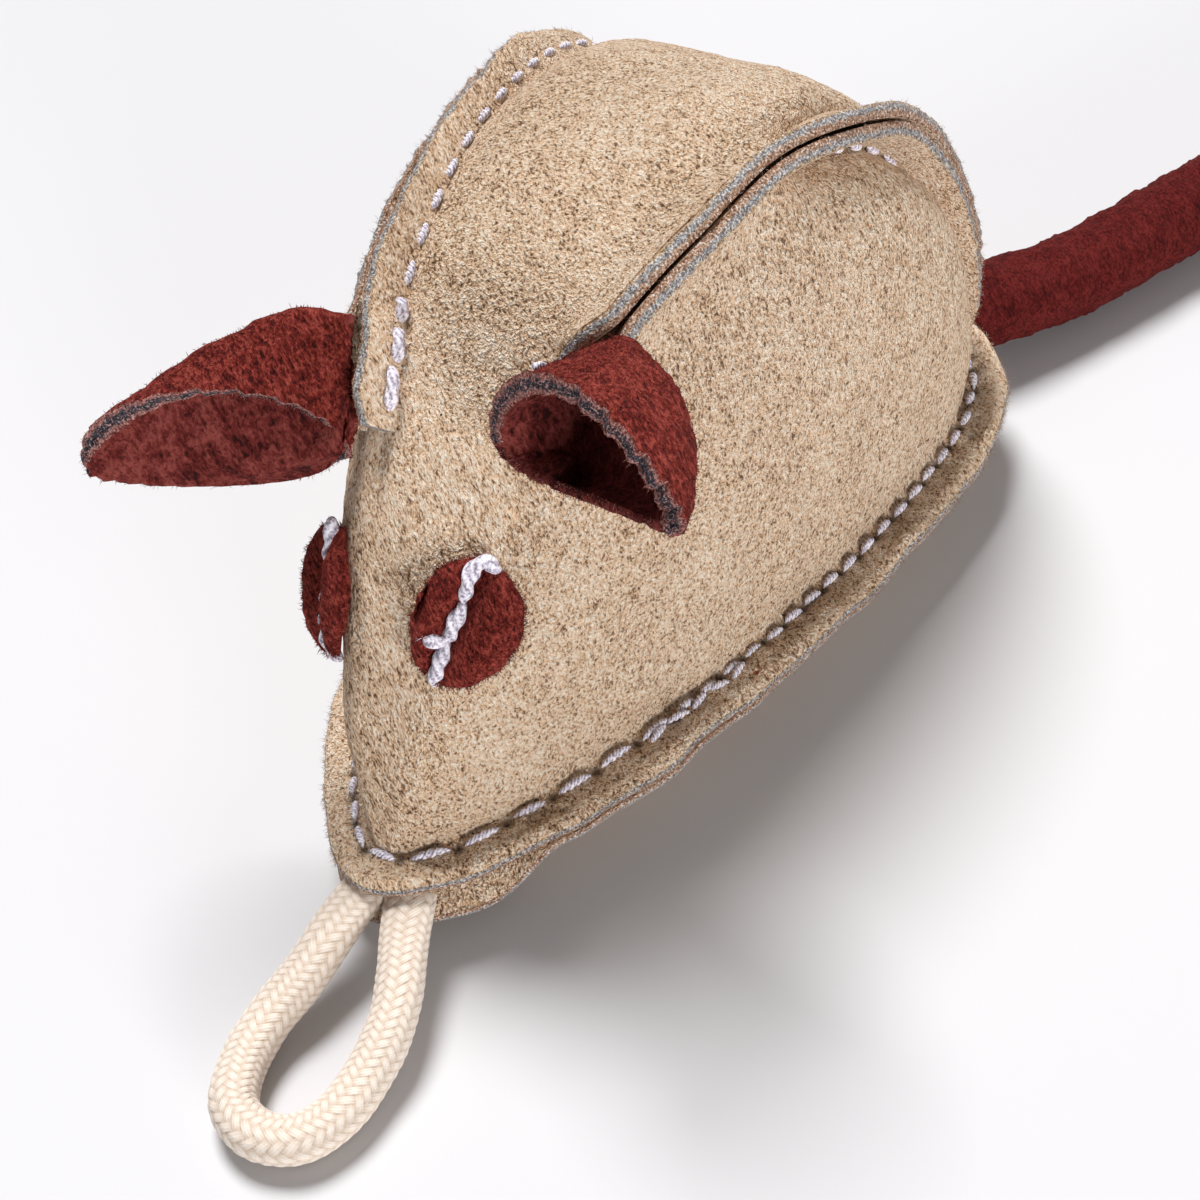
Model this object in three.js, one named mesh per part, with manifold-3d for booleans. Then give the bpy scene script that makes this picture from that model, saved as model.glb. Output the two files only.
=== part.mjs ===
import * as THREE from "three";
import { mergeVertices } from "three/addons/utils/BufferGeometryUtils.js";
import Module from "manifold-3d";

const wasm = await Module();
wasm.setup();

// Driving dimensions, all in millimetres. X points to the nose, Y to the left side, Z up.
// The floor is z = 0 and the origin is on the flat resting patch under the belly.
const BODY_LENGTH = 100;
const HALF_WIDTH = 26.6;
const BACK_HEIGHT = 56;
const SEAM_HEIGHT = 9;
const REST_CUT = 0.5;
const FORWARD_LEAN = 7.2;
const SUEDE = 1.7;
const CLEARANCE = 0.3;
const FLANGE_WIDTH = 5.4;
const NOSE_FLANGE = 4.3;
const RIDGE_HEIGHT = 4.7;
const RIDGE_FROM_NOSE = 29;
const RIDGE_SHORT = 0.55;
const RIDGE_GAP = 0.5;
const SIDE_PUFF = 2;
const BACK_PUFF = 1.2;
const THREAD = 0.95;
const STITCH_PITCH = 3.5;
const EYE_DIAMETER = 13.6;
const EYE_FROM_NOSE = 16.3;
const EAR_LENGTH = 32;
const EAR_WIDTH = 28;
const EAR_ROOT = 8.5;
const EAR_ROOT_SPAN = 8;
const LEFT_EAR_FROM_NOSE = 41.8;
const RIGHT_EAR_FROM_NOSE = 37;
const EAR_SUEDE = 1.4;
const TAIL_DIAMETER = 12;
const CORD_DIAMETER = 5.4;
const TAIL_Y = 12;
const TAIL_DRIFT = 6;
const TAIL_REACH = 88.5;
const LOOP_Y = 2.4;
const LOOP_SPREAD = 7.4;
const LOOP_REACH = 24.1;
const NOSE_RADIUS = 3.6;

// Fits that follow from the driving dimensions
const NOSE_X = BODY_LENGTH / 2;
const BELLY_DEPTH = SEAM_HEIGHT + REST_CUT;
const REAR_X = NOSE_X - BODY_LENGTH;
const SEAM_GAP = CLEARANCE;
const RIDGE_START = RIDGE_FROM_NOSE / BODY_LENGTH;
const RIDGE_END = 1 - RIDGE_SHORT / BODY_LENGTH;
const FILLING_INSET = SUEDE + CLEARANCE;
const EAR_DOUBLE = 2 * EAR_SUEDE + 0.2;
const EAR_GAP = 0.8;
const EAR_CHAMFER = 0.6;
const EAR_HINGE = 0.9;
const RIDGE_OPENING = EAR_DOUBLE + 2 * CLEARANCE;
const THREAD_RADIUS = THREAD / 2;
const THREAD_LIFT = THREAD_RADIUS + 0.15;
const STITCH_OFFSET = THREAD_RADIUS + 0.75;
const NOSE_DROP = CORD_DIAMETER * 0.75;
const TAIL_PARTING = TAIL_DIAMETER * 0.16;
const STITCH_UP = 2.2;
const EYE_AT = EYE_FROM_NOSE / BODY_LENGTH;
const EYE_ANGLE = THREE.MathUtils.degToRad(66);
const EYE_WRAP = 0.55;
const EYE_REST = 0.3;

// Plain helpers for vectors
const add = (a, b) => [a[0] + b[0], a[1] + b[1], a[2] + b[2]];
const sub = (a, b) => [a[0] - b[0], a[1] - b[1], a[2] - b[2]];
const scale = (a, k) => [a[0] * k, a[1] * k, a[2] * k];
const cross = (a, b) => [
  a[1] * b[2] - a[2] * b[1],
  a[2] * b[0] - a[0] * b[2],
  a[0] * b[1] - a[1] * b[0],
];
const dot = (a, b) => a[0] * b[0] + a[1] * b[1] + a[2] * b[2];
const unit = (a) => scale(a, 1 / Math.hypot(a[0], a[1], a[2]));
const mirror = (a) => [a[0], -a[1], a[2]];
const mix = (a, b, k) => a + (b - a) * k;
const clamp = (v) => Math.min(1, Math.max(0, v));
const ease = (v) => clamp(v) * clamp(v) * (3 - 2 * clamp(v));

// A hump that is 0 at both ends of 0..1 and 1 at its highest point
function hump(t, rise, fall) {
  const top = rise / (rise + fall);
  return Math.pow(t / top, rise) * Math.pow((1 - t) / (1 - top), fall);
}

// Angle of the ridge round the body: 0 is the left seam, half a turn is the right seam
function ridgeAngle(t) {
  const v = clamp((t - RIDGE_START) / (1 - RIDGE_START));
  const degrees = mix(76.2, 64.3, v) - 4.6 * v * (1 - v);
  return THREE.MathUtils.degToRad(degrees) * (1 - 0.8 * Math.pow(v, 17));
}

// How far the stuffed panels swell between the seams, 0 on a seam
function swelling(t, angle) {
  if (angle > Math.PI) return 0;
  const ridge = ridgeAngle(t);
  const sewn = ease((t - RIDGE_START + 0.06) / 0.25);
  const side = Math.min(angle, Math.PI - angle);
  if (side < ridge) {
    const u = side / ridge;
    return SIDE_PUFF * mix(0.35, 1, sewn) * 4 * u * (1 - u) * ease(t / 0.3);
  }
  const u = (angle - ridge) / (Math.PI - 2 * ridge);
  return BACK_PUFF * sewn * 4 * u * (1 - u);
}

// Point of the stuffed body: t runs from nose to rear, angle round the section, inset goes inward
function bodyPoint(t, angle, inset = 0, puffed = true) {
  const c = Math.cos(angle);
  const s = Math.sin(angle);
  const width = (HALF_WIDTH - inset) * hump(t, 0.62, 0.14);
  const over = s >= 0;
  const tall = over
    ? (BACK_HEIGHT - inset) * hump(t, 0.669, 0.33)
    : (BELLY_DEPTH - inset) * Math.pow(4 * t * (1 - t), 0.45);
  let y = width * Math.sign(c) * Math.pow(Math.abs(c), 0.455);
  let z = tall * Math.pow(Math.abs(s), 0.845);
  const reach = Math.hypot(y, z);
  if (puffed && reach > 1e-6) {
    const grow = 1 + swelling(t, angle) * clamp(reach / 12) / reach;
    y *= grow;
    z *= grow;
  }
  const lean = over ? FORWARD_LEAN * Math.sin(Math.PI * t) * s : 0;
  const x = NOSE_X - inset - (BODY_LENGTH - 2 * inset) * t + lean;
  return [x, y, SEAM_HEIGHT + (over ? z : -z)];
}

// Outward direction of the body at a point
function bodyNormal(t, angle) {
  const e = 0.002;
  const along = sub(bodyPoint(Math.min(t + e, 0.995), angle, 0, false), bodyPoint(t - e, angle, 0, false));
  const round = sub(bodyPoint(t, angle + e, 0, false), bodyPoint(t, angle - e, 0, false));
  return unit(cross(along, round));
}

// Turns points and faces into a geometry, facing outward
function solidFrom(points, faces) {
  let volume = 0;
  for (const [a, b, c] of faces) volume += dot(points[a], cross(points[b], points[c]));
  const ordered = volume < 0 ? faces.map(([a, b, c]) => [a, c, b]) : faces;
  const geometry = new THREE.BufferGeometry();
  geometry.setAttribute("position", new THREE.Float32BufferAttribute(points.flat(), 3));
  geometry.setIndex(ordered.flat());
  return geometry;
}

// Skin over a row of closed rings, each with the same even number of points, shut flat at each end
function loft(rings, closed = false) {
  const n = rings[0].length;
  const points = rings.flat();
  const faces = [];
  const last = closed ? rings.length : rings.length - 1;
  for (let i = 0; i < last; i += 1) {
    const j = (i + 1) % rings.length;
    for (let k = 0; k < n; k += 1) {
      const m = (k + 1) % n;
      faces.push([i * n + k, i * n + m, j * n + k]);
      faces.push([i * n + m, j * n + m, j * n + k]);
    }
  }
  if (!closed) {
    const cap = (first, flip) => {
      for (let k = 0; k < n / 2 - 1; k += 1) {
        const [a, b, c, d] = [first + k, first + k + 1, first + n - 2 - k, first + n - 1 - k];
        faces.push(flip ? [a, b, c] : [a, c, b]);
        if (c !== d) faces.push(flip ? [a, c, d] : [a, d, c]);
      }
    };
    cap(0, false);
    cap((rings.length - 1) * n, true);
  }
  return solidFrom(points, faces);
}

// Rows from nose to rear, closer together at both ends
const bodyRows = (count) =>
  Array.from({ length: count + 1 }, (_, i) => 1 - Math.pow(1 - Math.pow(i / count, 1.5), 2.6));

// Angles across the upper, with the two ridges always on the same columns
function upperAngles(t, sides, back) {
  const ridge = ridgeAngle(t);
  const angles = [];
  for (let i = 0; i < sides; i += 1) angles.push((ridge * i) / sides);
  for (let i = 0; i < back; i += 1) angles.push(ridge + ((Math.PI - 2 * ridge) * i) / back);
  for (let i = 0; i <= sides; i += 1) angles.push(Math.PI - ridge + (ridge * i) / sides);
  return angles;
}

// Shell between two like sheets of points, each with a single point at the nose and at the rear
function shell(outer, inner) {
  const points = [];
  const faces = [];
  const sheet = (rows, flip) => {
    const first = points.length;
    points.push(rows[0][0]);
    for (const row of rows.slice(1, -1)) points.push(...row);
    points.push(rows.at(-1)[0]);
    const n = rows[1].length;
    const body = rows.length - 2;
    const at = (i, k) => first + 1 + i * n + k;
    const put = (a, b, c) => faces.push(flip ? [a, c, b] : [a, b, c]);
    for (let k = 0; k < n - 1; k += 1) {
      put(first, at(0, k), at(0, k + 1));
      put(at(body - 1, k), points.length - 1, at(body - 1, k + 1));
      for (let i = 0; i < body - 1; i += 1) {
        put(at(i, k), at(i + 1, k), at(i, k + 1));
        put(at(i + 1, k), at(i + 1, k + 1), at(i, k + 1));
      }
    }
    const side = (k) => [first, ...Array.from({ length: body }, (_, i) => at(i, k)), points.length - 1];
    return [side(0), side(n - 1)];
  };
  const a = sheet(outer, false);
  const b = sheet(inner, true);
  for (const s of [0, 1]) {
    for (let i = 0; i < a[s].length - 1; i += 1) {
      const quad = [a[s][i], a[s][i + 1], b[s][i + 1], b[s][i]];
      const turned = s === 0 ? quad : quad.reverse();
      faces.push([turned[0], turned[2], turned[1]]);
      faces.push([turned[0], turned[3], turned[2]]);
    }
  }
  return solidFrom(points, faces);
}

// Seam outline seen from above, measured along its length from the nose down the left side
const OUTLINE = (() => {
  const points = [];
  const reach = [0];
  for (let i = 0; i <= 600; i += 1) {
    const t = 1 - Math.pow(1 - Math.pow(i / 600, 1.67), 6);
    points.push(bodyPoint(t, 0, 0, false));
    if (i > 0) reach.push(reach[i - 1] + Math.hypot(...sub(points[i], points[i - 1])));
  }
  return { points, reach, length: reach.at(-1) };
})();

// Point of the seam outline at a distance from the nose, negative or past the rear on the right side
function outlinePoint(distance) {
  const whole = 2 * OUTLINE.length;
  const d = ((distance % whole) + whole) % whole;
  const right = d > OUTLINE.length;
  const along = right ? whole - d : d;
  let low = 0;
  let high = OUTLINE.reach.length - 1;
  while (high - low > 1) {
    const mid = (low + high) >> 1;
    if (OUTLINE.reach[mid] <= along) low = mid;
    else high = mid;
  }
  const k = (along - OUTLINE.reach[low]) / (OUTLINE.reach[high] - OUTLINE.reach[low]);
  const p = OUTLINE.points[low].map((v, i) => mix(v, OUTLINE.points[high][i], k));
  return right ? mirror(p) : p;
}

// Outward direction of the seam outline in the seam plane
function outlineNormal(distance) {
  const run = sub(outlinePoint(distance + 1.6), outlinePoint(distance - 1.6));
  return unit([-run[1], run[0], 0]).map((v) => -v);
}

// Distance along the outline from the nose and from the tail, the shorter way
const WHOLE = 2 * OUTLINE.length;
const wrap = (d) => ((d % WHOLE) + WHOLE) % WHOLE;
const fromNose = (d) => Math.min(wrap(d), WHOLE - wrap(d));
const fromTail = (d) => Math.abs(wrap(d) - (OUTLINE.length - TAIL_Y));

// Width of the flange, and how far each layer is pushed from the seam plane at its outer edge
const flangeWidth = (d) => mix(NOSE_FLANGE, FLANGE_WIDTH, ease((fromNose(d) - 4) / 16));
const tailPush = (d) => TAIL_PARTING * (1 - ease((fromTail(d) - 7) / 5));
const nosePush = (d) => NOSE_DROP * (1 - ease((fromNose(d - LOOP_Y) - 7) / 9));

// Height of the inner face of a flange layer at a distance out from the seam
function flangeFace(d, out, upper) {
  const push = tailPush(d) + (upper ? 0 : nosePush(d));
  const away = SEAM_GAP / 2 + push * clamp((out + 1.2) / (flangeWidth(d) + 1.2));
  return SEAM_HEIGHT + (upper ? away : -away);
}

// A point of the seam plane at a distance along the outline and out from it, at a height
function flangePoint(d, out, z) {
  const p = add(outlinePoint(d), scale(outlineNormal(d), out));
  return [p[0], p[1], z];
}

// A flange layer: a band of suede round the seam
function flange(upper) {
  const count = 80;
  const thick = upper ? SUEDE : -SUEDE;
  const rings = [];
  for (let i = 0; i < count; i += 1) {
    const d = (WHOLE * i) / count;
    const face = [-1.3, flangeWidth(d)].map((out) => flangePoint(d, out, flangeFace(d, out, upper)));
    const far = face.map((q) => [q[0], q[1], q[2] + thick]).reverse();
    rings.push([...face, ...far]);
  }
  return loft(rings, true);
}

// Frame of a ridge at t: foot on the body, outward, along the ridge, and toward the side panel
function ridgeFrame(t) {
  const foot = bodyPoint(t, ridgeAngle(t), 0, false);
  const ahead = bodyPoint(t - 0.004, ridgeAngle(t - 0.004), 0, false);
  const behind = bodyPoint(Math.min(t + 0.004, 0.9995), ridgeAngle(Math.min(t + 0.004, 0.9995)), 0, false);
  const along = unit(sub(ahead, behind));
  const rough = bodyNormal(Math.min(t, 0.94), ridgeAngle(Math.min(t, 0.94)));
  const outward = unit(sub(rough, scale(along, dot(rough, along))));
  const sideward = unit(cross(along, outward));
  return { foot, outward, along, sideward: sideward[1] < 0 ? scale(sideward, -1) : sideward };
}

// Each ear: how far back its fold leaves the ridge, and the way it runs and opens once it is clear
const EARS = {
  left: { back: LEFT_EAR_FROM_NOSE / BODY_LENGTH, run: unit([0.7, 0.7, 0.02]), mouth: [0.754, -0.615, -0.233] },
  right: { back: RIGHT_EAR_FROM_NOSE / BODY_LENGTH, run: unit([0.5, 0.74, -0.5]), mouth: [0.8, -0.45, -0.4] },
};
const EAR_SPAN = EAR_ROOT_SPAN / BODY_LENGTH;

// Half the gap between the two layers of a ridge, wider where the ear root is caught
const ridgeHalfGap = (t, back) => mix(RIDGE_OPENING, RIDGE_GAP, ease((t - back - 0.02) / 0.1)) / 2;

// A ridge starts at the front of its ear's root, a little lower there, and ends just above the base seam
const ridgeStart = (back) => back - EAR_SPAN;

const ridgeRise = (t, back) => RIDGE_HEIGHT * mix(0.7, 1, ease((t - ridgeStart(back)) / 0.03));

const ridgeRows = (count, back) =>
  Array.from({ length: count + 1 }, (_, i) => mix(ridgeStart(back), RIDGE_END, 1 - Math.pow(1 - i / count, 1.7)));

// One layer of the left ridge, on the side panel or on the back
function ridgeLayer(back, toSide) {
  const way = toSide ? 1 : -1;
  const rings = ridgeRows(26, back).map((t) => {
    const { foot, outward, sideward } = ridgeFrame(t);
    const near = ridgeHalfGap(t, back) * way;
    const far = near + SUEDE * way;
    const at = (across, up) => add(foot, add(scale(sideward, across), scale(outward, up)));
    const low = -1.2;
    return [at(near, low), at(far, low), at(far, ridgeRise(t, back)), at(near, ridgeRise(t, back))];
  });
  return loft(rings);
}

// Length of a ridge along its foot
function ridgeLength(back) {
  const feet = ridgeRows(40, back).map((t) => ridgeFrame(t).foot);
  return feet.slice(1).reduce((sum, p, i) => sum + Math.hypot(...sub(p, feet[i])), 0);
}

const mirrored = (geometry) => {
  const p = geometry.getAttribute("position");
  const points = Array.from({ length: p.count }, (_, i) => [p.getX(i), -p.getY(i), p.getZ(i)]);
  const index = geometry.index.array;
  const faces = [];
  for (let i = 0; i < index.length; i += 3) faces.push([index[i], index[i + 2], index[i + 1]]);
  return solidFrom(points, faces);
};

// Joining of solids that are one piece of suede
function toManifold(geometry) {
  const clean = geometry.clone();
  clean.deleteAttribute("normal");
  clean.deleteAttribute("uv");
  const merged = mergeVertices(clean, 1e-4);
  return new wasm.Manifold(
    new wasm.Mesh({
      numProp: 3,
      vertProperties: new Float32Array(merged.getAttribute("position").array),
      triVerts: new Uint32Array(merged.index.array),
    }),
  );
}

function fromManifold(solid) {
  const mesh = solid.getMesh();
  const geometry = new THREE.BufferGeometry();
  geometry.setAttribute("position", new THREE.Float32BufferAttribute(Array.from(mesh.vertProperties), 3));
  geometry.setIndex(Array.from(mesh.triVerts));
  return geometry;
}

const joined = (geometries) => fromManifold(geometries.map(toManifold).reduce((a, b) => a.add(b)));

// Upper panel: the domed skin, its flange and the two layers of each ridge
function upperPanel() {
  const rows = bodyRows(26);
  const raise = (p) => [p[0], p[1], p[2] + SEAM_GAP / 2];
  const sheet = (inset) =>
    rows.map((t) => upperAngles(t, 7, 8).map((angle) => raise(bodyPoint(t, angle, inset))));
  const skin = shell(sheet(0), sheet(SUEDE));
  const layers = (back) => [ridgeLayer(back, true), ridgeLayer(back, false)];
  return joined([skin, flange(true), ...layers(EARS.left.back), ...layers(EARS.right.back).map(mirrored)]);
}

// Base panel: the belly with its flange, flat where it rests
function basePanel() {
  const rows = bodyRows(22);
  const columns = Array.from({ length: 11 }, (_, i) => Math.PI + (Math.PI * i) / 10);
  const sheet = (inset) =>
    rows.map((t) =>
      columns.map((angle) => {
        const p = bodyPoint(t, angle, inset);
        return [p[0], p[1], Math.max(p[2] - SEAM_GAP / 2, inset)];
      }),
    );
  return joined([shell(sheet(0), sheet(SUEDE)), flange(false)]);
}

// Filling: one plump body just inside the two panels
function filling() {
  const rows = bodyRows(13).slice(1, -1);
  const rings = rows.map((t) => {
    const top = upperAngles(t, 4, 6).map((angle) => bodyPoint(t, angle, FILLING_INSET + 0.25));
    const belly = Array.from({ length: 7 }, (_, i) => {
      const p = bodyPoint(t, Math.PI + (Math.PI * (i + 1)) / 8, FILLING_INSET + 0.25);
      return [p[0], p[1], Math.max(p[2], FILLING_INSET + 0.25)];
    });
    return [...top, ...belly];
  });
  return loft(rings);
}

// Round cord along a smooth curve, with a ball on each end that turns in place
function cord(points, diameter, sides, steps, balls) {
  const radius = diameter / 2;
  const profile = new THREE.Shape();
  for (let i = 0; i < sides; i += 1) {
    const a = (2 * Math.PI * i) / sides;
    if (i === 0) profile.moveTo(radius * Math.cos(a), radius * Math.sin(a));
    else profile.lineTo(radius * Math.cos(a), radius * Math.sin(a));
  }
  profile.closePath();
  const path = new THREE.CatmullRomCurve3(points.map((p) => new THREE.Vector3(...p)), false, "centripetal");
  const swept = new THREE.ExtrudeGeometry(profile, { steps, extrudePath: path, bevelEnabled: false });
  const ends = balls.map((p) => new THREE.SphereGeometry(radius, sides, 6).translate(...p));
  return joined([swept, ...ends]);
}

// Thread that follows a row of stitches: each point gives the surface and the way out of it
function stitchRun(frames, sides = 4) {
  const rings = [];
  frames.forEach((frame, i) => {
    const before = frames[Math.max(0, i - 1)].at;
    const after = frames[Math.min(frames.length - 1, i + 1)].at;
    const run = unit(sub(after, before));
    const out = unit(sub(frame.out, scale(run, dot(frame.out, run))));
    const side = cross(run, out);
    const ring = [];
    for (let k = 0; k < sides; k += 1) {
      const a = (2 * Math.PI * (k + 0.5)) / sides;
      const r = THREAD_RADIUS;
      ring.push(add(frame.at, add(scale(out, r * Math.sin(a)), scale(side, r * Math.cos(a)))));
    }
    rings.push(ring);
  });
  return loft(rings);
}

// Rise of the thread over the suede: lowest at the holes and highest between them
const stitchLift = (i) => THREAD_LIFT + (i % 2 === 0 ? 0 : THREAD * 0.35);

// Thread of the base seam, on top of the flange or under it
function seamThread(start, end, out, upper) {
  const count = 2 * Math.round((end - start) / STITCH_PITCH);
  const frames = [];
  for (let i = 0; i <= count; i += 1) {
    const d = mix(start, end, i / count);
    const slope = (tailPush(d) + (upper ? 0 : nosePush(d))) / (flangeWidth(d) + 1.2);
    const lift = (SUEDE + stitchLift(i)) * Math.hypot(1, slope) + 0.25 * slope;
    const z = flangeFace(d, out, upper) + (upper ? lift : -lift);
    frames.push({ at: flangePoint(d, out, z), out: [0, 0, upper ? 1 : -1] });
  }
  return stitchRun(frames);
}

// Thread along the foot of the left ridge, on the face toward the side panel or toward the back
function ridgeThread(back, toSide) {
  const way = toSide ? 1 : -1;
  const count = 2 * Math.round(ridgeLength(back) / STITCH_PITCH);
  const frames = [];
  for (let i = 0; i <= count; i += 1) {
    const t = mix(ridgeStart(back) + 0.012, 0.992, 1 - Math.pow(1 - i / count, 1.5));
    const { foot, outward, sideward } = ridgeFrame(t);
    const across = (ridgeHalfGap(t, back) + SUEDE + stitchLift(i)) * way;
    const at = add(foot, add(scale(sideward, across), scale(outward, STITCH_UP)));
    frames.push({ at, out: scale(sideward, way) });
  }
  return stitchRun(frames);
}

// Heavy tack over the ear root: zigzag stitches on the back face of the ridge
function earTack(back) {
  const frames = [];
  const count = 12;
  for (let i = 0; i <= count; i += 1) {
    const t = mix(back - EAR_SPAN + 0.01, back, i / count);
    const { foot, outward, sideward } = ridgeFrame(t);
    const up = STITCH_UP + THREAD + 0.35 + (i % 2 === 0 ? 0 : 0.5);
    const across = -(ridgeHalfGap(t, back) + SUEDE + THREAD_LIFT);
    frames.push({ at: add(foot, add(scale(sideward, across), scale(outward, up))), out: scale(sideward, -1) });
  }
  return stitchRun(frames);
}

// Root of a left ear: the folded end of the leaf between the two layers of the ridge
function earRoot(back) {
  const rings = [];
  for (let i = 0; i <= 4; i += 1) {
    const t = mix(back - EAR_SPAN, back, i / 4);
    const { foot, outward, sideward } = ridgeFrame(t);
    const at = (across, up) => add(foot, add(scale(sideward, across), scale(outward, up)));
    const half = EAR_DOUBLE / 2;
    const low = CLEARANCE + 0.4;
    rings.push([at(-half, low), at(half, low), at(half, RIDGE_HEIGHT), at(-half, RIDGE_HEIGHT)]);
  }
  return loft(rings);
}

// Where the fold of a left ear leaves the ridge, and the way along the ridge there.
// The ear turns about a line in that way, EAR_HINGE above the foot of the fold.
function earSeat(back) {
  const { foot, outward } = ridgeFrame(back);
  const { along } = ridgeFrame(back - EAR_SPAN / 2);
  return { fold: add(foot, scale(outward, RIDGE_HEIGHT + EAR_GAP)), outward, along };
}

// A left ear: a rounded leaf, folded together at the ridge, then opening and running outward
function ear({ back, run, mouth }) {
  const seat = earSeat(back);
  const steps = 9;
  const side = 6;
  let middle = seat.fold;
  const rings = [];
  const stations = Array.from({ length: steps + 1 }, (_, i) => i / steps);
  stations.splice(1, 0, EAR_CHAMFER / EAR_LENGTH);
  stations.forEach((s, i) => {
    const turn = ease(s / 0.3);
    const way = unit(add(scale(seat.outward, 1 - turn), scale(run, turn)));
    const open = add(scale(seat.along, 1 - turn), scale(mouth, turn));
    const front = unit(sub(open, scale(way, dot(open, way))));
    const span = cross(way, front);
    const grown = ease(s / 0.22);
    const taper = s < 0.2 ? 1 : Math.pow(1 - Math.pow((s - 0.2) / 0.8, 1.8), 0.85);
    const half = mix(EAR_ROOT, EAR_WIDTH / 2, grown) * taper + 1.2;
    const bend = mix(EAR_SUEDE / 2 + 0.1, mix(3.4, 6, s), ease(s / 0.35));
    const fold = mix(Math.PI / 2, 1.15, ease(s / 0.8));
    const at = (u, thick) => {
      const far = Math.abs(u);
      const arc = Math.min(far / bend, fold);
      const rest = Math.max(0, far - bend * fold);
      const r = bend + thick;
      const out = Math.sign(u) * (r * Math.sin(arc) + rest * Math.cos(arc));
      const deep = bend - r * Math.cos(arc) + rest * Math.sin(arc);
      return add(middle, add(scale(span, out), scale(front, deep)));
    };
    const cuts = Array.from({ length: 2 * side + 1 }, (_, k) => {
      const v = (k - side) / side;
      return Math.sign(v) * Math.pow(Math.abs(v), 1.5) * half;
    });
    const outside = EAR_SUEDE / 2 - (i === 0 ? EAR_CHAMFER : 0);
    const outer = cuts.map((u) => at(u, outside));
    const inner = cuts.map((u) => at(u, -EAR_SUEDE / 2)).reverse();
    rings.push([...outer, ...inner]);
    const next = i < steps + 1 ? stations[i + 1] : 1;
    middle = add(middle, scale(way, EAR_LENGTH * (next - s)));
  });
  return loft(rings);
}

// Frame of the left eye: centre on the face, outward, across and up
function eyeFrame() {
  const outward = bodyNormal(EYE_AT, EYE_ANGLE);
  const across = unit(cross([0, 0, 1], outward));
  return { outward, across, up: cross(outward, across) };
}

// A point of the left eye's sheet: partly laid on the curved face and partly flat
function eyePoint(u, v, high) {
  const { outward, across, up } = eyeFrame();
  const e = 0.002;
  const centre = bodyPoint(EYE_AT, EYE_ANGLE);
  const byT = scale(sub(bodyPoint(EYE_AT + e, EYE_ANGLE), bodyPoint(EYE_AT - e, EYE_ANGLE)), 0.5 / e);
  const byA = scale(sub(bodyPoint(EYE_AT, EYE_ANGLE + e), bodyPoint(EYE_AT, EYE_ANGLE - e)), 0.5 / e);
  const a = [dot(byT, across), dot(byT, up)];
  const b = [dot(byA, across), dot(byA, up)];
  const det = a[0] * b[1] - a[1] * b[0];
  const flat = add(centre, add(scale(across, u), scale(up, v)));
  let t = EYE_AT;
  let angle = EYE_ANGLE;
  let laid = centre;
  for (let i = 0; i < 12; i += 1) {
    const miss = sub(flat, laid);
    const x = 0.7 * dot(miss, across);
    const y = 0.7 * dot(miss, up);
    t = Math.max(0.02, t + (x * b[1] - y * b[0]) / det);
    angle += (a[0] * y - a[1] * x) / det;
    laid = bodyPoint(t, angle);
  }
  const sink = dot(sub(laid, flat), outward);
  return add(flat, scale(outward, (sink > 0 ? sink : sink * EYE_WRAP) + SEAM_GAP / 2 + high));
}

// Left eye: a suede disc
function eye() {
  const around = 20;
  const rings = [];
  const radii = [0.05, 0.5, 1];
  const ring = (k, high) =>
    Array.from({ length: around }, (_, i) => {
      const a = (2 * Math.PI * i) / around;
      const r = (EYE_DIAMETER / 2) * k;
      return eyePoint(r * Math.cos(a), r * Math.sin(a), high);
    });
  for (const k of radii) rings.push(ring(k, EYE_REST));
  for (const k of radii.slice().reverse()) rings.push(ring(k, EYE_REST + SUEDE));
  return loft(rings);
}

// Stitches across the left eye, on a slant
function eyeStitch() {
  const frames = [];
  const count = 8;
  const { outward } = eyeFrame();
  for (let i = 0; i <= count; i += 1) {
    const r = mix(-0.8, 0.8, i / count) * (EYE_DIAMETER / 2);
    const high = EYE_REST + SUEDE + stitchLift(i) + 0.05;
    frames.push({ at: eyePoint(r * 0.51, r * 0.86, high), out: outward });
  }
  return stitchRun(frames, 6);
}

// A wedge of cord or rolled strip between the two flange layers, sewn through by the base seam.
// The place rule turns a sideways position and a distance out into a distance along the outline.
function caughtEnd(middle, width, place) {
  const edge = flangeWidth(place(middle, FLANGE_WIDTH));
  const rings = [0.85, mix(0.85, edge, 0.5), edge].map((out) => {
    const at = (side, upper) => {
      const d = place(middle + side, out);
      const z = flangeFace(d, out, upper) + (upper ? -CLEARANCE : CLEARANCE);
      return flangePoint(d, out, z);
    };
    const half = width / 2;
    return [at(-half, false), at(0, false), at(half, false), at(half, true), at(0, true), at(-half, true)];
  });
  return loft(rings);
}

const atNose = (y, out) => (y * NOSE_RADIUS) / (NOSE_RADIUS + out);
const atRear = (y) => OUTLINE.length - y;

const group = new THREE.Group();
group.name = "mouse_dog_toy";

const tan = new THREE.MeshStandardMaterial({ color: 0xc8aa82, roughness: 0.95 });
const burgundy = new THREE.MeshStandardMaterial({ color: 0x782d2a, roughness: 0.95 });
const white = new THREE.MeshStandardMaterial({ color: 0xe6e2ea, roughness: 0.8 });
const cream = new THREE.MeshStandardMaterial({ color: 0xe9e0d2, roughness: 0.9 });
const fibre = new THREE.MeshStandardMaterial({ color: 0xf2f1ec, roughness: 1 });

function put(name, geometry, material) {
  const mesh = new THREE.Mesh(geometry, material);
  mesh.name = name;
  group.add(mesh);
}

put("upper_panel", upperPanel(), tan);
put("base_panel", basePanel(), tan);
put("stuffing", filling(), fibre);

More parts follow.
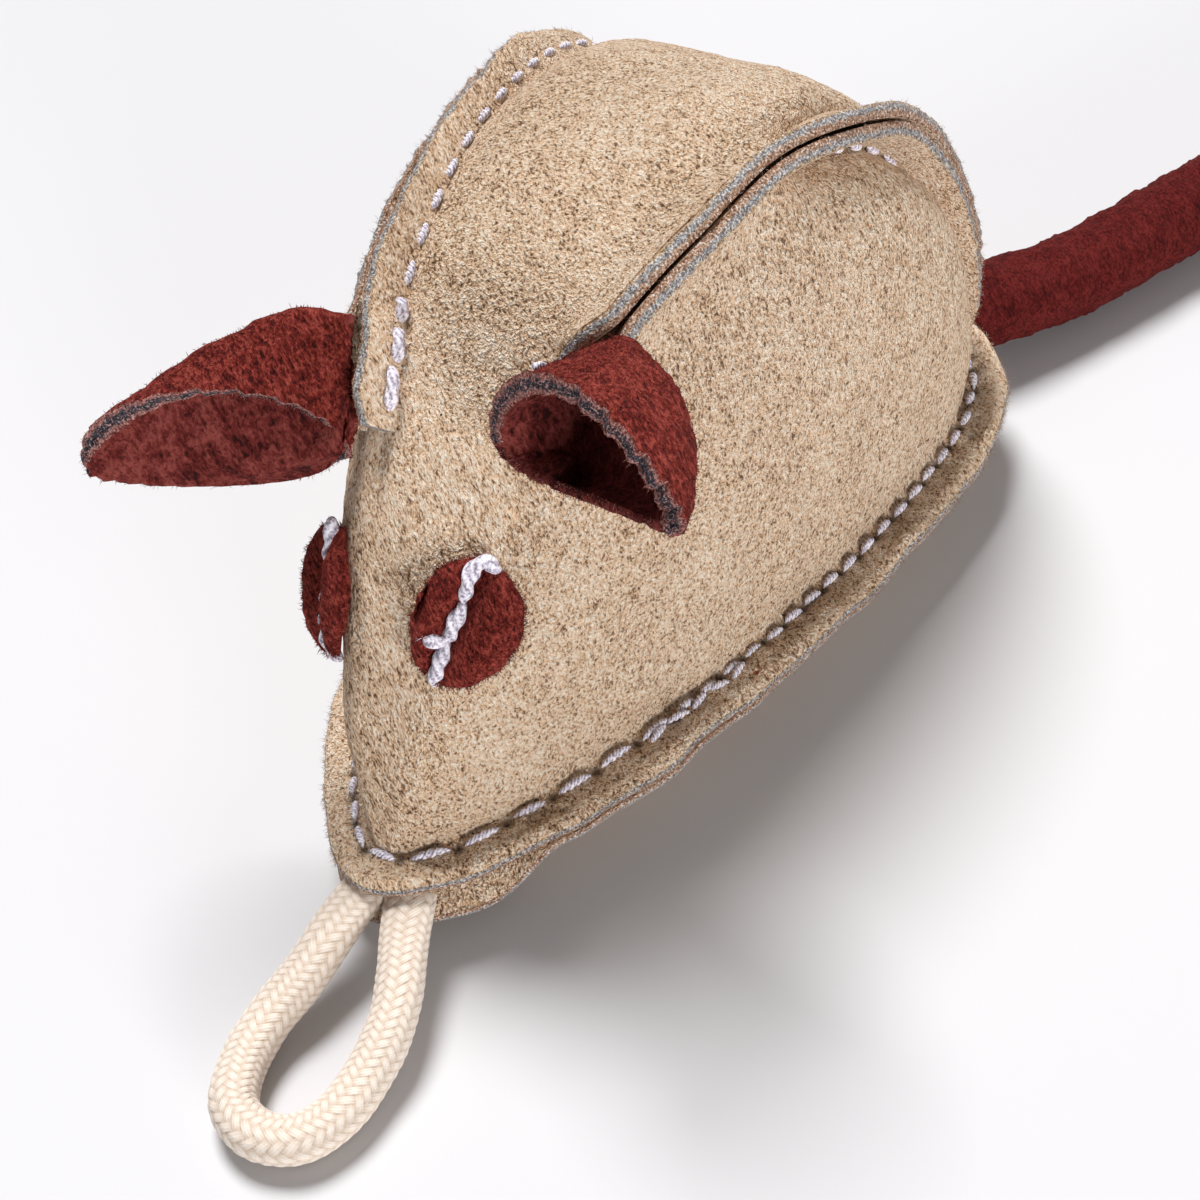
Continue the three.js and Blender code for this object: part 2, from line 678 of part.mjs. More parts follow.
put("ear_left", ear(EARS.left), burgundy);
put("ear_right", mirrored(ear(EARS.right)), burgundy);
put("ear_root_left", earRoot(EARS.left.back), burgundy);
put("ear_root_right", mirrored(earRoot(EARS.right.back)), burgundy);
put("ear_tack_left", earTack(EARS.left.back), white);
put("ear_tack_right", mirrored(earTack(EARS.right.back)), white);

const leftEye = eye();
put("eye_left", leftEye, burgundy);
put("eye_right", mirrored(leftEye), burgundy);
const leftEyeStitch = eyeStitch();
put("eye_stitch_left", leftEyeStitch, white);
put("eye_stitch_right", mirrored(leftEyeStitch), white);

put("ridge_thread_left_inner", ridgeThread(EARS.left.back, false), white);
put("ridge_thread_left_outer", ridgeThread(EARS.left.back, true), white);
put("ridge_thread_right_inner", mirrored(ridgeThread(EARS.right.back, false)), white);
put("ridge_thread_right_outer", mirrored(ridgeThread(EARS.right.back, true)), white);

// The base seam starts and stops on the left side, where its ends are doubled by a back-tack
const SEAM_START = 44;
put("seam_thread_top", seamThread(SEAM_START, SEAM_START + WHOLE - STITCH_PITCH, STITCH_OFFSET, true), white);
put("seam_thread_under", seamThread(SEAM_START, SEAM_START + WHOLE - STITCH_PITCH, STITCH_OFFSET, false), white);
put("seam_backtack", seamThread(SEAM_START - 8, SEAM_START + 6, STITCH_OFFSET + THREAD + 0.35, true), white);

// Tail: it leaves the rear seam on a slant and follows a hand-chosen route over the floor
const tailRadius = TAIL_DIAMETER / 2;
const TAIL_PIVOT = [REAR_X - FLANGE_WIDTH - CLEARANCE - tailRadius, TAIL_Y + TAIL_DRIFT, SEAM_HEIGHT - 1];
const fromPivot = (back, left, lift) => [
  TAIL_PIVOT[0] - back * TAIL_REACH,
  TAIL_PIVOT[1] + left * TAIL_REACH,
  tailRadius + lift,
];
const TAIL_ROUTE = [
  TAIL_PIVOT,
  fromPivot(0.059, 0.041, 1.1),
  fromPivot(0.124, 0.079, 0.3),
  fromPivot(0.203, 0.119, 0),
  fromPivot(0.384, 0.199, 0),
  fromPivot(0.684, 0.33, 0),
  fromPivot(1, 0.463, 0),
];
put("tail", cord(TAIL_ROUTE, TAIL_DIAMETER, 12, 26, [TAIL_PIVOT]), burgundy);
put("tail_root", caughtEnd(TAIL_Y, TAIL_DIAMETER * 0.95, atRear), burgundy);

// Hanging loop: hand-chosen route over the floor, both ends turning in place at the nose
const cordRadius = CORD_DIAMETER / 2;
const loopEnd = (side) => {
  const y = LOOP_Y + (side * LOOP_SPREAD) / 2;
  const edge = flangeWidth(0);
  const z = mix(flangeFace(0, edge, false), flangeFace(0, edge, true), 0.5);
  const out = edge + CLEARANCE + cordRadius;
  return flangePoint(atNose(y, out), out, z);
};
const LOOP_RIGHT = loopEnd(-1);
const LOOP_LEFT = loopEnd(1);
const fromEnds = (ahead, left, lift) => [
  NOSE_X + NOSE_FLANGE + CLEARANCE + cordRadius + ahead * LOOP_REACH,
  LOOP_Y + left * LOOP_REACH,
  cordRadius + lift,
];
const LOOP_ROUTE = [
  LOOP_RIGHT,
  fromEnds(0.278, -0.183, 2.3),
  fromEnds(0.506, -0.224, 0.9),
  fromEnds(0.739, -0.207, 0.1),
  fromEnds(0.934, -0.112, 0),
  fromEnds(1, 0.05, 0),
  fromEnds(0.95, 0.216, 0),
  fromEnds(0.797, 0.311, 0.1),
  fromEnds(0.544, 0.332, 0.7),
  fromEnds(0.278, 0.299, 2.3),
  LOOP_LEFT,
];
put("hanging_loop", cord(LOOP_ROUTE, CORD_DIAMETER, 10, 40, [LOOP_RIGHT, LOOP_LEFT]), cream);
put("loop_end_right", caughtEnd(LOOP_Y - LOOP_SPREAD / 2, CORD_DIAMETER * 0.95, atNose), cream);
put("loop_end_left", caughtEnd(LOOP_Y + LOOP_SPREAD / 2, CORD_DIAMETER * 0.95, atNose), cream);

export default group;
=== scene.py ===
import bmesh
import bpy
import numpy as np
from mathutils import Matrix


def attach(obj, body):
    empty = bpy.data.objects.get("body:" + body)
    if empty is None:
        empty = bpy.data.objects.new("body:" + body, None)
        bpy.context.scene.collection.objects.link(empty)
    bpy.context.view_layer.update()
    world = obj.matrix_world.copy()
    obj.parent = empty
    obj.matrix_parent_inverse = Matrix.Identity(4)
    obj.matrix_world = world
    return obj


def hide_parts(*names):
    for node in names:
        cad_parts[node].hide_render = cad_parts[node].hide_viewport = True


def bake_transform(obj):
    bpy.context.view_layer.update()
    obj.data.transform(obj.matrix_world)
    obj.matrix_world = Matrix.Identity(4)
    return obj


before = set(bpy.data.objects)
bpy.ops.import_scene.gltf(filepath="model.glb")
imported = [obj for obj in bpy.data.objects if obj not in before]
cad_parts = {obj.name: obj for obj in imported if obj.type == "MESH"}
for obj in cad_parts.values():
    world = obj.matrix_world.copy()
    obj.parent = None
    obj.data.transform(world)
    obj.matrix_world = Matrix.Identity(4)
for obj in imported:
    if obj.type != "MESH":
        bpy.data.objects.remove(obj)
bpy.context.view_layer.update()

# Camera
# A product photographer's view from the front left and above, with a long lens.
# The place and the aim come from matching the seam and the ears with the photograph.
camera_data = bpy.data.cameras.new("camera")
camera_data.sensor_width = 36.0
camera_data.lens = 74.316
camera_data.clip_start = 0.01
camera = bpy.data.objects.new("camera", camera_data)
bpy.context.scene.collection.objects.link(camera)
camera_right = (-0.5054, 0.8555, -0.1126)
camera_up = (-0.6516, -0.2928, 0.6998)
camera_back = (0.5657, 0.4270, 0.7054)
camera_at = (0.17118, 0.12570, 0.21523)
camera.matrix_world = Matrix(
    [(camera_right[i], camera_up[i], camera_back[i], camera_at[i]) for i in range(3)] + [(0, 0, 0, 1)]
)
bpy.context.scene.camera = camera

# Tail
# A strip of burgundy suede, rolled up tightly along its length like a scroll.
# Its front end is pressed flat and sewn between the two layers of the rear seam.
# The rest lies on the floor, and the photograph cuts it off, so its end is a plain cut.
MM = 0.001
SUEDE = 1.7
TAIL_RADIUS = 6.0
TAIL_ROOT_WIDE = 6.9
TAIL_ROOT_HIGH = 1.5
SCROLL_STEP = 0.13
END_HOLLOW = 0.25
TAIL_ROUTE = [
    (-51.6, 10.6, 9.0), (-55.4, 13.4, 8.9), (-61.7, 18.0, 8.0), (-66.921, 21.628, 7.1),
    (-72.674, 24.992, 6.3), (-79.665, 28.532, 6.0), (-95.684, 35.611, 6.0),
    (-122.234, 47.205, 6.0), (-150.2, 58.976, 6.0),
]


def unit(v):
    """Vectors of length one."""
    return v / np.maximum(np.linalg.norm(v, axis=-1, keepdims=True), 1e-12)


def mix(a, b, share):
    """From a to b in a straight line."""
    return a + (b - a) * share


def ease(v):
    """From 0 to 1 with a soft start and a soft stop."""
    v = np.clip(v, 0.0, 1.0)
    return v * v * (3.0 - 2.0 * v)


def ripple(points, length, seed, waves=24):
    """Bumps about the given length apart: a sum of plane waves in seeded directions, about -1 to 1."""
    chance = np.random.default_rng(seed)
    ways = unit(chance.normal(size=(waves, 3))) * (2 * np.pi / length)
    ways = ways * chance.uniform(0.7, 1.35, (waves, 1))
    shifts = chance.uniform(0, 2 * np.pi, waves)
    total = np.zeros(points.shape[:-1])
    for way, shift in zip(ways, shifts):
        total += np.cos(points @ way + shift)
    return total / np.sqrt(waves * 0.5) * 0.6


def smooth_route(points, count):
    """Centripetal curve through the points, as a draughtsman's spline, with even steps along its length."""
    route = np.asarray(points, float)
    route = np.vstack([2 * route[0] - route[1], route, 2 * route[-1] - route[-2]])
    share = np.linspace(0, 1, 80)[:, None]
    pieces = []
    for a, b, c, d in zip(route, route[1:], route[2:], route[3:]):
        k1 = np.linalg.norm(b - a) ** 0.5
        k2 = k1 + np.linalg.norm(c - b) ** 0.5
        k3 = k2 + np.linalg.norm(d - c) ** 0.5
        t = mix(k1, k2, share)
        ab = mix(a, b, t / k1)
        bc = mix(b, c, (t - k1) / (k2 - k1))
        cd = mix(c, d, (t - k2) / (k3 - k2))
        abc = mix(ab, bc, t / k2)
        bcd = mix(bc, cd, (t - k1) / (k3 - k1))
        pieces.append(mix(abc, bcd, (t - k1) / (k2 - k1)))
    line = np.vstack(pieces)
    steps = np.linalg.norm(np.diff(line, axis=0), axis=1)
    line = line[np.concatenate([[True], steps > 1e-9])]
    reach = np.concatenate([[0], np.cumsum(np.linalg.norm(np.diff(line, axis=0), axis=1))])
    even = np.linspace(0, reach[-1], count)
    return np.stack([np.interp(even, reach, line[:, i]) for i in range(3)], -1), even


def make_piece(name, patches, materials):
    """One mesh from grids of points: neighbours in a grid share a four-sided face, and points that meet are
    welded. A patch is (points, uv, kind, pit): kind is the material of its faces, and pit is a value that the
    material reads as painted shade, 1 in a needle hole and a little on the flanges beside the base seam, and
    on the cord the height of the weave, whose low parts the cord's material paints in shade."""
    points, faces, uvs, kinds, pits = [], [], [], [], []
    first = 0
    for grid, uv, kind, pit in patches:
        grid = np.asarray(grid, float)
        grid = grid.reshape(-1, *grid.shape[-3:])
        number = first + np.arange(grid[..., 0].size).reshape(grid.shape[:3])
        corners = [number[:, :-1, :-1], number[:, 1:, :-1], number[:, 1:, 1:], number[:, :-1, 1:]]
        quads = np.stack(corners, -1)
        kinds.append(np.broadcast_to(kind, quads.shape[:3]).reshape(-1))
        faces.append(quads.reshape(-1, 4))
        points.append(grid.reshape(-1, 3))
        uvs.append(np.broadcast_to(uv, grid.shape[:3] + (2,)).reshape(-1, 2))
        pits.append(np.broadcast_to(pit, grid.shape[:3]).reshape(-1))
        first += grid[..., 0].size
    points, faces, uvs = np.concatenate(points), np.concatenate(faces), np.concatenate(uvs)
    mesh = bpy.data.meshes.new(name)
    mesh.vertices.add(len(points))
    mesh.vertices.foreach_set("co", (points * MM).astype(np.float32).ravel())
    mesh.loops.add(faces.size)
    mesh.loops.foreach_set("vertex_index", faces.astype(np.int32).ravel())
    mesh.polygons.add(len(faces))
    mesh.polygons.foreach_set("loop_start", np.arange(0, faces.size, 4, dtype=np.int32))
    mesh.polygons.foreach_set("material_index", np.concatenate(kinds).astype(np.int32))
    mesh.polygons.foreach_set("use_smooth", np.ones(len(faces), bool))
    mesh.uv_layers.new(name="lay").data.foreach_set("uv", uvs[faces].astype(np.float32).ravel())
    pit_layer = mesh.attributes.new("pit", "FLOAT", "POINT")
    pit_layer.data.foreach_set("value", np.concatenate(pits).astype(np.float32))
    mesh.update(calc_edges=True)
    work = bmesh.new()
    work.from_mesh(mesh)
    bmesh.ops.remove_doubles(work, verts=work.verts, dist=3e-6)
    bmesh.ops.dissolve_degenerate(work, edges=work.edges, dist=1e-7)
    bmesh.ops.recalc_face_normals(work, faces=work.faces)
    work.to_mesh(mesh)
    work.free()
    mesh.set_sharp_from_angle(angle=np.radians(62))
    for material in materials:
        mesh.materials.append(material)
    piece = bpy.data.objects.new(name, mesh)
    bpy.context.scene.collection.objects.link(piece)
    return piece


def linear(colour):
    """An sRGB hex colour as linear red, green, blue and alpha."""
    values = np.array([int(colour[i:i + 2], 16) for i in (1, 3, 5)]) / 255
    straight = np.where(values <= 0.04045, values / 12.92, ((values + 0.055) / 1.055) ** 2.4)
    return (*straight.tolist(), 1.0)


def fill_node(material, node, settings):
    """Fills a node: a property or a socket is set to its value, and another node's output is linked."""
    for key, value in settings.items():
        if isinstance(value, bpy.types.NodeSocket):
            material.node_tree.links.new(value, node.inputs[key])
        elif isinstance(key, str) and hasattr(node, key):
            setattr(node, key, value)
        else:
            node.inputs[key].default_value = value


def add_node(material, kind, settings, ramp=()):
    """Adds a shader node, with its settings, its links and its colour stops."""
    node = material.node_tree.nodes.new(kind)
    fill_node(material, node, settings)
    for place, (position, colour) in enumerate(ramp):
        stops = node.color_ramp.elements
        stop = stops[place] if place < len(stops) else stops.new(position)
        stop.position = position
        stop.color = linear(colour)
    return node


def new_material(name):
    """An empty material, its shader and its texture coordinates."""
    material = bpy.data.materials.new(name)
    material.use_nodes = True
    shader = material.node_tree.nodes["Principled BSDF"]
    return material, shader, add_node(material, "ShaderNodeTexCoord", {}).outputs


def napped_suede(name, pit, nap, tip, grain, clumped, relief_mm, flecks):
    """Suede with its nap raised: short fibre dashes with pale tips over dark pits, finer hairs between them,
    a share of bigger clumps, brushed patches with fewer pits, stray flecks, and painted shade where the
    mesh's pit value is high, in the needle holes and on the flanges beside the base seam. Sizes are in mm."""
    material, shader, place = new_material(name)
    hair_size, clump_size, patch_size, fleck_apart = grain * 0.42, grain * 3.6, 14.0, 5.5
    spot = add_node(material, "ShaderNodeMapping", {
        "vector_type": "TEXTURE", "Vector": place["Object"], "Rotation": (0.5, -0.6, 0.3),
        "Scale": (1.0, 1.0, 1.9),
    }).outputs["Vector"]
    fine = add_node(material, "ShaderNodeTexNoise", {
        "Vector": spot, "Scale": 1000 / grain, "Detail": 1.5, "Roughness": 0.6, "Distortion": 0.4,
    }).outputs["Fac"]
    hair = add_node(material, "ShaderNodeTexNoise", {
        "Vector": spot, "Scale": 1000 / hair_size, "Detail": 1.0, "Roughness": 0.6,
    }).outputs["Fac"]
    clump = add_node(material, "ShaderNodeTexNoise", {
        "Vector": spot, "Scale": 1000 / clump_size, "Detail": 2.0, "Roughness": 0.6,
    }).outputs["Fac"]
    cloud = add_node(material, "ShaderNodeTexNoise", {
        "Vector": spot, "Scale": 1000 / patch_size, "Detail": 2.0, "Roughness": 0.5,
    }).outputs["Fac"]
    nappy = add_node(material, "ShaderNodeMix", {0: 0.3, 2: fine, 3: hair}).outputs[0]
    height = add_node(material, "ShaderNodeMix", {0: clumped, 2: nappy, 3: clump}).outputs[0]
    brushed = add_node(material, "ShaderNodeMapRange", {0: cloud, 1: 0.35, 2: 0.65, 3: -0.012, 4: 0.02})
    lifted = add_node(material, "ShaderNodeMath", {"operation": "ADD", 0: height, 1: brushed.outputs[0]})
    stops = [(0.37, pit), (0.6, tip), (0.48, nap)]
    colour = add_node(material, "ShaderNodeValToRGB", {"Fac": lifted.outputs[0]}, stops).outputs["Color"]
    cell = add_node(material, "ShaderNodeTexVoronoi", {
        "Vector": place["Object"], "Scale": 1000 / fleck_apart,
    }).outputs
    near = add_node(material, "ShaderNodeMath", {"operation": "LESS_THAN", 0: cell["Distance"], 1: 0.05})
    chosen = add_node(material, "ShaderNodeSeparateColor", {"Color": cell["Color"]})
    fleck = add_node(material, "ShaderNodeValToRGB", {"Fac": chosen.outputs[0]}, flecks)
    fleck.color_ramp.interpolation = "CONSTANT"
    flecked = add_node(material, "ShaderNodeMix", {
        "data_type": "RGBA", 0: near.outputs[0], 6: colour, 7: fleck.outputs["Color"],
    }).outputs[2]
    # Painted shade: the pit value darkens the colour to a dark brown in needle holes and on the flanges.
    painted_shade_share = add_node(material, "ShaderNodeAttribute", {"attribute_name": "pit"}).outputs["Fac"]
    with_painted_shade = add_node(material, "ShaderNodeMix", {
        "data_type": "RGBA", 0: painted_shade_share, 6: flecked, 7: linear("#2b1d18"),
    }).outputs[2]
    relief = add_node(material, "ShaderNodeBump", {
        "Height": height, "Strength": 1.0, "Distance": relief_mm * MM,
    }).outputs["Normal"]
    fill_node(material, shader, {
        "Base Color": with_painted_shade, "Normal": relief, "Roughness": 0.95, "Specular IOR Level": 0.12,
        "Sheen Weight": 0.15, "Sheen Roughness": 0.55, "Sheen Tint": linear(tip),
    })
    return material


def raw_edge(name, bands, fibre):
    """The cut edge of suede, read across its thickness: each band is a share of the thickness and a colour,
    the bands run into each other raggedly, and pale fibre ends stand on top of them. Sizes are in mm."""
    material, shader, place = new_material(name)
    stray_size, grain_size, relief_depth = 0.6, 0.26, 0.5
    stray = add_node(material, "ShaderNodeTexNoise", {
        "Vector": place["Object"], "Scale": 1000 / stray_size, "Detail": 3.0, "Roughness": 0.7,
    }).outputs["Fac"]
    grain = add_node(material, "ShaderNodeTexNoise", {
        "Vector": place["Object"], "Scale": 1000 / grain_size, "Detail": 2.0, "Roughness": 0.6,
    }).outputs["Fac"]
    across = add_node(material, "ShaderNodeSeparateXYZ", {"Vector": place["UV"]}).outputs["Y"]
    laid = add_node(material, "ShaderNodeMath", {"operation": "MULTIPLY_ADD", 0: across, 1: 0.6, 2: -0.05})
    bent = add_node(material, "ShaderNodeMath", {
        "operation": "MULTIPLY_ADD", 0: stray, 1: 0.5, 2: laid.outputs[0],
    }).outputs[0]
    stops = [(0.2 + 0.6 * share, colour) for share, colour in bands]
    stops = [stops[0], stops[-1]] + stops[1:-1]
    line = add_node(material, "ShaderNodeValToRGB", {"Fac": bent}, stops).outputs["Color"]
    shades = [(0.36, "#978b89"), (0.56, "#ffffff")]
    shade = add_node(material, "ShaderNodeValToRGB", {"Fac": grain}, shades).outputs["Color"]
    colour = add_node(material, "ShaderNodeMix", {
        "data_type": "RGBA", "blend_type": "MULTIPLY", 0: 1.0, 6: line, 7: shade,
    }).outputs[2]
    stands = add_node(material, "ShaderNodeMapRange", {0: grain, 1: 0.56, 2: 0.66}).outputs[0]
    tipped = add_node(material, "ShaderNodeMix", {
        "data_type": "RGBA", 0: stands, 6: colour, 7: linear(fibre),
    }).outputs[2]
    relief = add_node(material, "ShaderNodeBump", {
        "Height": grain, "Strength": 1.0, "Distance": relief_depth * MM,
    }).outputs["Normal"]
    fill_node(material, shader, {
        "Base Color": tipped, "Normal": relief, "Roughness": 1.0, "Specular IOR Level": 0.1,
    })
    return material


# Suede of the ears and the eyes: a deep red nap with paler tips.
burgundy = napped_suede(
    "burgundy napped suede", pit="#300b0b", nap="#6a211b", tip="#99443a",
    grain=0.4, clumped=0.24, relief_mm=1.5,
    flecks=[(0.0, "#5a1a1c"), (0.45, "#b56a5a"), (0.62, "#8c3a2e"), (0.8, "#3c1014"), (0.93, "#a8794f")],
)
# Its cut edge: a charcoal core between two paler skins.
burgundy_edge = raw_edge("cut edge of burgundy suede", [
    (0.0, "#8a4640"), (0.14, "#b98078"), (0.34, "#4c4d56"),
    (0.66, "#40424c"), (0.86, "#bd8880"), (1.0, "#7c3633"),
], "#c79c94")
# Suede of the tail: rolled smooth, so its nap lies flat, and a darker burgundy than the ears' suede.
burgundy_smooth = napped_suede(
    "burgundy suede rolled smooth", pit="#300a0b", nap="#501312", tip="#6a2320",
    grain=0.34, clumped=0.3, relief_mm=0.9,
    flecks=[(0.0, "#4a1415"), (0.5, "#7c302c"), (0.8, "#380d0f")],
)

tail_line, tail_reach = smooth_route(TAIL_ROUTE, count=190)
tail_way = unit(np.gradient(tail_line, axis=0))
tail_side = unit(np.cross((0.0, 0.0, 1.0), tail_way))
tail_up = np.cross(tail_way, tail_side)
opened = ease((tail_reach - 4.0) / 10.0)
tail_wide = mix(TAIL_ROOT_WIDE, TAIL_RADIUS, opened)
tail_high = mix(TAIL_ROOT_HIGH, TAIL_RADIUS, opened)
turn = np.linspace(0, 1, 89)
angle = 2 * np.pi * turn - 1.2
inward = 1 - SCROLL_STEP * turn
ring_side = np.cos(angle) * inward
ring_up = np.sin(angle) * inward
tail_skin = (
    tail_line[:, None]
    + (tail_wide[:, None] * ring_side)[..., None] * tail_side[:, None]
    + (tail_high[:, None] * ring_up)[..., None] * tail_up[:, None]
)
tail_out = unit(tail_skin - tail_line[:, None])
tail_lump = 0.16 * ripple(tail_skin, 5.0, 3) + 0.13 * ripple(tail_skin, 1.6, 4, 40)
tail_skin = tail_skin + tail_out * (tail_lump * np.sin(np.pi * turn) ** 0.25)[..., None]
tail_skin[..., 2] = np.maximum(tail_skin[..., 2], 0.05)
lip = np.linspace(0, 1, 5)[None, :, None]
tail_lip = mix(tail_skin[:, -1:], tail_skin[:, :1], lip)
sunk = np.linspace(1, 0, 15)[:, None, None]
tail_end = mix(tail_line[-1], tail_skin[-1], sunk) - tail_way[-1] * END_HOLLOW * (1 - sunk)
tail_start = mix(tail_line[0], tail_skin[0], sunk[::-1])
lip_end = mix(tail_line[-1], tail_lip[-1], sunk) - tail_way[-1] * END_HOLLOW * (1 - sunk)
lip_start = mix(tail_line[0], tail_lip[0], sunk[::-1])
layer = np.stack(np.broadcast_arrays(turn[None] * 3.0, (sunk[..., 0] * 3.4 - turn[None]) % 1.0), -1)
tail = make_piece("tail_roll", [
    (tail_skin, (0, 0), 0, 0),
    (tail_lip, np.stack(np.broadcast_arrays(tail_reach[:, None] * 0.1, lip[..., 0]), -1), 1, 0),
    (tail_end, layer, 1, 0), (lip_end, (0, 0), 0, 0),
    (tail_start, (0, 0), 0, 0), (lip_start, (0, 0), 0, 0),
], [burgundy_smooth, burgundy_edge])
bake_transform(tail)
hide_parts("tail", "tail_root")

# Hanging loop
# A soft cotton cord, plaited from two sets of twelve strands that pass over two and under two.
# Both ends are pressed between the layers of the nose seam and sewn in, and the bight lies on the floor.
LOOP_ROUTE = [
    (52.6, -1.0, 7.7), (57.154, -1.463, 6.975), (64.0, -2.01, 5.0), (69.495, -2.998, 3.6),
    (75.11, -2.589, 2.8), (79.809, -0.299, 2.7), (81.4, 3.605, 2.7), (80.195, 7.606, 2.7),
    (76.508, 9.895, 2.8), (70.41, 10.401, 3.4), (64.0, 9.606, 5.0), (55.441, 5.707, 6.975),
    (51.6, 4.0, 7.7),
]
CORD_RADIUS = 2.7
STRANDS = 12
YARNS = 3
LEAD = 14.0
UNDULATION = 0.11
STRAND_ROUND = 0.15
YARN_ROUND = 0.09

loop_line, loop_reach = smooth_route(LOOP_ROUTE, count=547)
loop_way = unit(np.gradient(loop_line, axis=0))
loop_side = unit(np.cross((0.0, 0.0, 1.0), loop_way))
loop_up = np.cross(loop_way, loop_side)
round_turn = np.linspace(0, 1, 151)
slack = 0.3 * ripple(loop_line, 7.0, 14)[:, None]
one_way = STRANDS * (round_turn[None] + loop_reach[:, None] / LEAD) + slack
other_way = STRANDS * (round_turn[None] - loop_reach[:, None] / LEAD) - 0.7 * slack


def strand_height(across, along, centre):
    """Height of one set of strands: each is rounded across, made of finer yarns, and weaves over two and
    under two."""
    number = np.floor(across)
    aside = across - number - 0.5
    weave = np.cos(2 * np.pi * (along + number - centre) / 4)
    yarn = np.abs(np.cos(np.pi * YARNS * (aside + 0.5)))
    return UNDULATION * weave + STRAND_ROUND * np.sqrt(1 - 3.4 * aside ** 2) - YARN_ROUND * yarn


braid = np.maximum(
    strand_height(one_way, other_way, centre=1.0), strand_height(other_way, one_way, centre=3.0)
)
highest = UNDULATION + STRAND_ROUND
# Height of the weave, 0 to 1, which the cord's material reads to paint shade deep between the yarns.
depth = np.clip((braid + 0.1) / (highest + 0.1), 0, 1)
radius = CORD_RADIUS - highest + braid
radius = radius + 0.05 * ripple(loop_line, 6.0, 12)[:, None]
from_end = np.minimum(loop_reach, loop_reach[-1] - loop_reach)
pressed = 1 - ease((from_end - 1.5) / 8.0)
tall = 1 - 0.5 * pressed
wide = 1 + 0.12 * pressed
round_angle = 2 * np.pi * round_turn
loop_skin = (
    loop_line[:, None]
    + (radius * np.cos(round_angle) * wide[:, None])[..., None] * loop_side[:, None]
    + (radius * np.sin(round_angle) * tall[:, None])[..., None] * loop_up[:, None]
)
loop_skin[..., 2] = np.maximum(loop_skin[..., 2], 0.03)
shut = np.linspace(0, 1, 4)[:, None, None]
loop_caps = [mix(loop_line[0], loop_skin[0], shut), mix(loop_skin[-1], loop_line[-1], shut)]

# Cotton gives a matt cream and a fine fibre grain, with painted brown shade deep between the yarns.
cotton, cotton_shader, cotton_place = new_material("plaited cotton cord")
COTTON_HAIR = 0.25
COTTON_RELIEF = 0.15
cotton_height = add_node(cotton, "ShaderNodeAttribute", {"attribute_name": "pit"}).outputs["Fac"]
cotton_hair = add_node(cotton, "ShaderNodeTexNoise", {
    "Vector": cotton_place["Object"], "Scale": 1000 / COTTON_HAIR, "Detail": 3.0, "Roughness": 0.65,
}).outputs["Fac"]
cotton_lift = add_node(cotton, "ShaderNodeMath", {
    "operation": "MULTIPLY_ADD", 0: cotton_hair, 1: 0.35, 2: cotton_height,
}).outputs[0]
cotton_stops = [(0.3, "#b39c88"), (1.0, "#efe3d7"), (0.62, "#d3beab"), (0.86, "#e2d2c3")]
cotton_colour = add_node(cotton, "ShaderNodeValToRGB", {"Fac": cotton_lift}, cotton_stops).outputs["Color"]
cotton_relief = add_node(cotton, "ShaderNodeBump", {
    "Height": cotton_hair, "Strength": 0.6, "Distance": COTTON_RELIEF * MM,
}).outputs["Normal"]
fill_node(cotton, cotton_shader, {
    "Base Color": cotton_colour, "Normal": cotton_relief,
    "Roughness": 0.9, "Specular IOR Level": 0.15, "Sheen Weight": 0.2,
})

loop = make_piece("plaited_loop", [
    (loop_skin, (0, 0), 0, depth), (loop_caps[0], (0, 0), 0, 0), (loop_caps[1], (0, 0), 0, 0),
], [cotton])
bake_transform(loop)
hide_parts("hanging_loop", "loop_end_right", "loop_end_left")

# Upper
# One panel of tan suede, napped side out, darted along two lines and stuffed hard.
# Its lower edge is turned out flat all round as a flange and sewn to the base with the raw edges showing.
NOSE_X = 50.0
BODY_LENGTH = 100.0
HALF_WIDTH = 26.6
BACK_HEIGHT = 56.0
SEAM_HEIGHT = 9.0
SEAM_GAP = 0.3
BELLY_DEPTH = 9.5
FORWARD_LEAN = 7.2
SIDE_PUFF = 2.0
BACK_PUFF = 1.2
FLANGE_WIDTH = 5.4
NOSE_FLANGE = 4.3
NOSE_DROP = 4.05
TAIL_Y = 12.0
TAIL_PARTING = 1.92
LOOP_Y = 2.4
RIDGE_START = 0.29
RIDGE_HEIGHT = 4.7
RIDGE_GAP = 0.45
RIDGE_OPENING = 3.0
FIN_START = {"left": 0.393, "right": 0.29}
FIN_TILT = 30.0
REAR_FROM = 0.66
EAR_BACK = {"left": 0.418, "right": 0.37}
SWEEP_REACH = 8.0
VALLEY = 4.8
VALLEY_WIDE = 11.0
BACK_VALLEY = 0.27 * VALLEY
BACK_VALLEY_WIDE = 6.5
SWEEP = {"left_outer": 1.0, "left_inner": 1.0, "right_outer": 0.7, "right_inner": 0.15}
STITCH_OFFSET = 1.225
STITCH_PITCH = 3.5
NOSE_PITCH = 5.8
SEAM_START = 44.0


def hump(t, rise, fall):
    """0 at both ends of 0 to 1, and 1 at its highest point."""
    top = rise / (rise + fall)
    return (t / top) ** rise * ((1 - t) / (1 - top)) ** fall


def ridge_angle(t):
    """Angle round the section at which the dart seam lies: 0 is the left base seam."""
    v = np.clip((t - RIDGE_START) / (1 - RIDGE_START), 0, 1)
    return np.radians(mix(76.2, 64.3, v) - 4.6 * v * (1 - v)) * (1 - 0.8 * v ** 17)


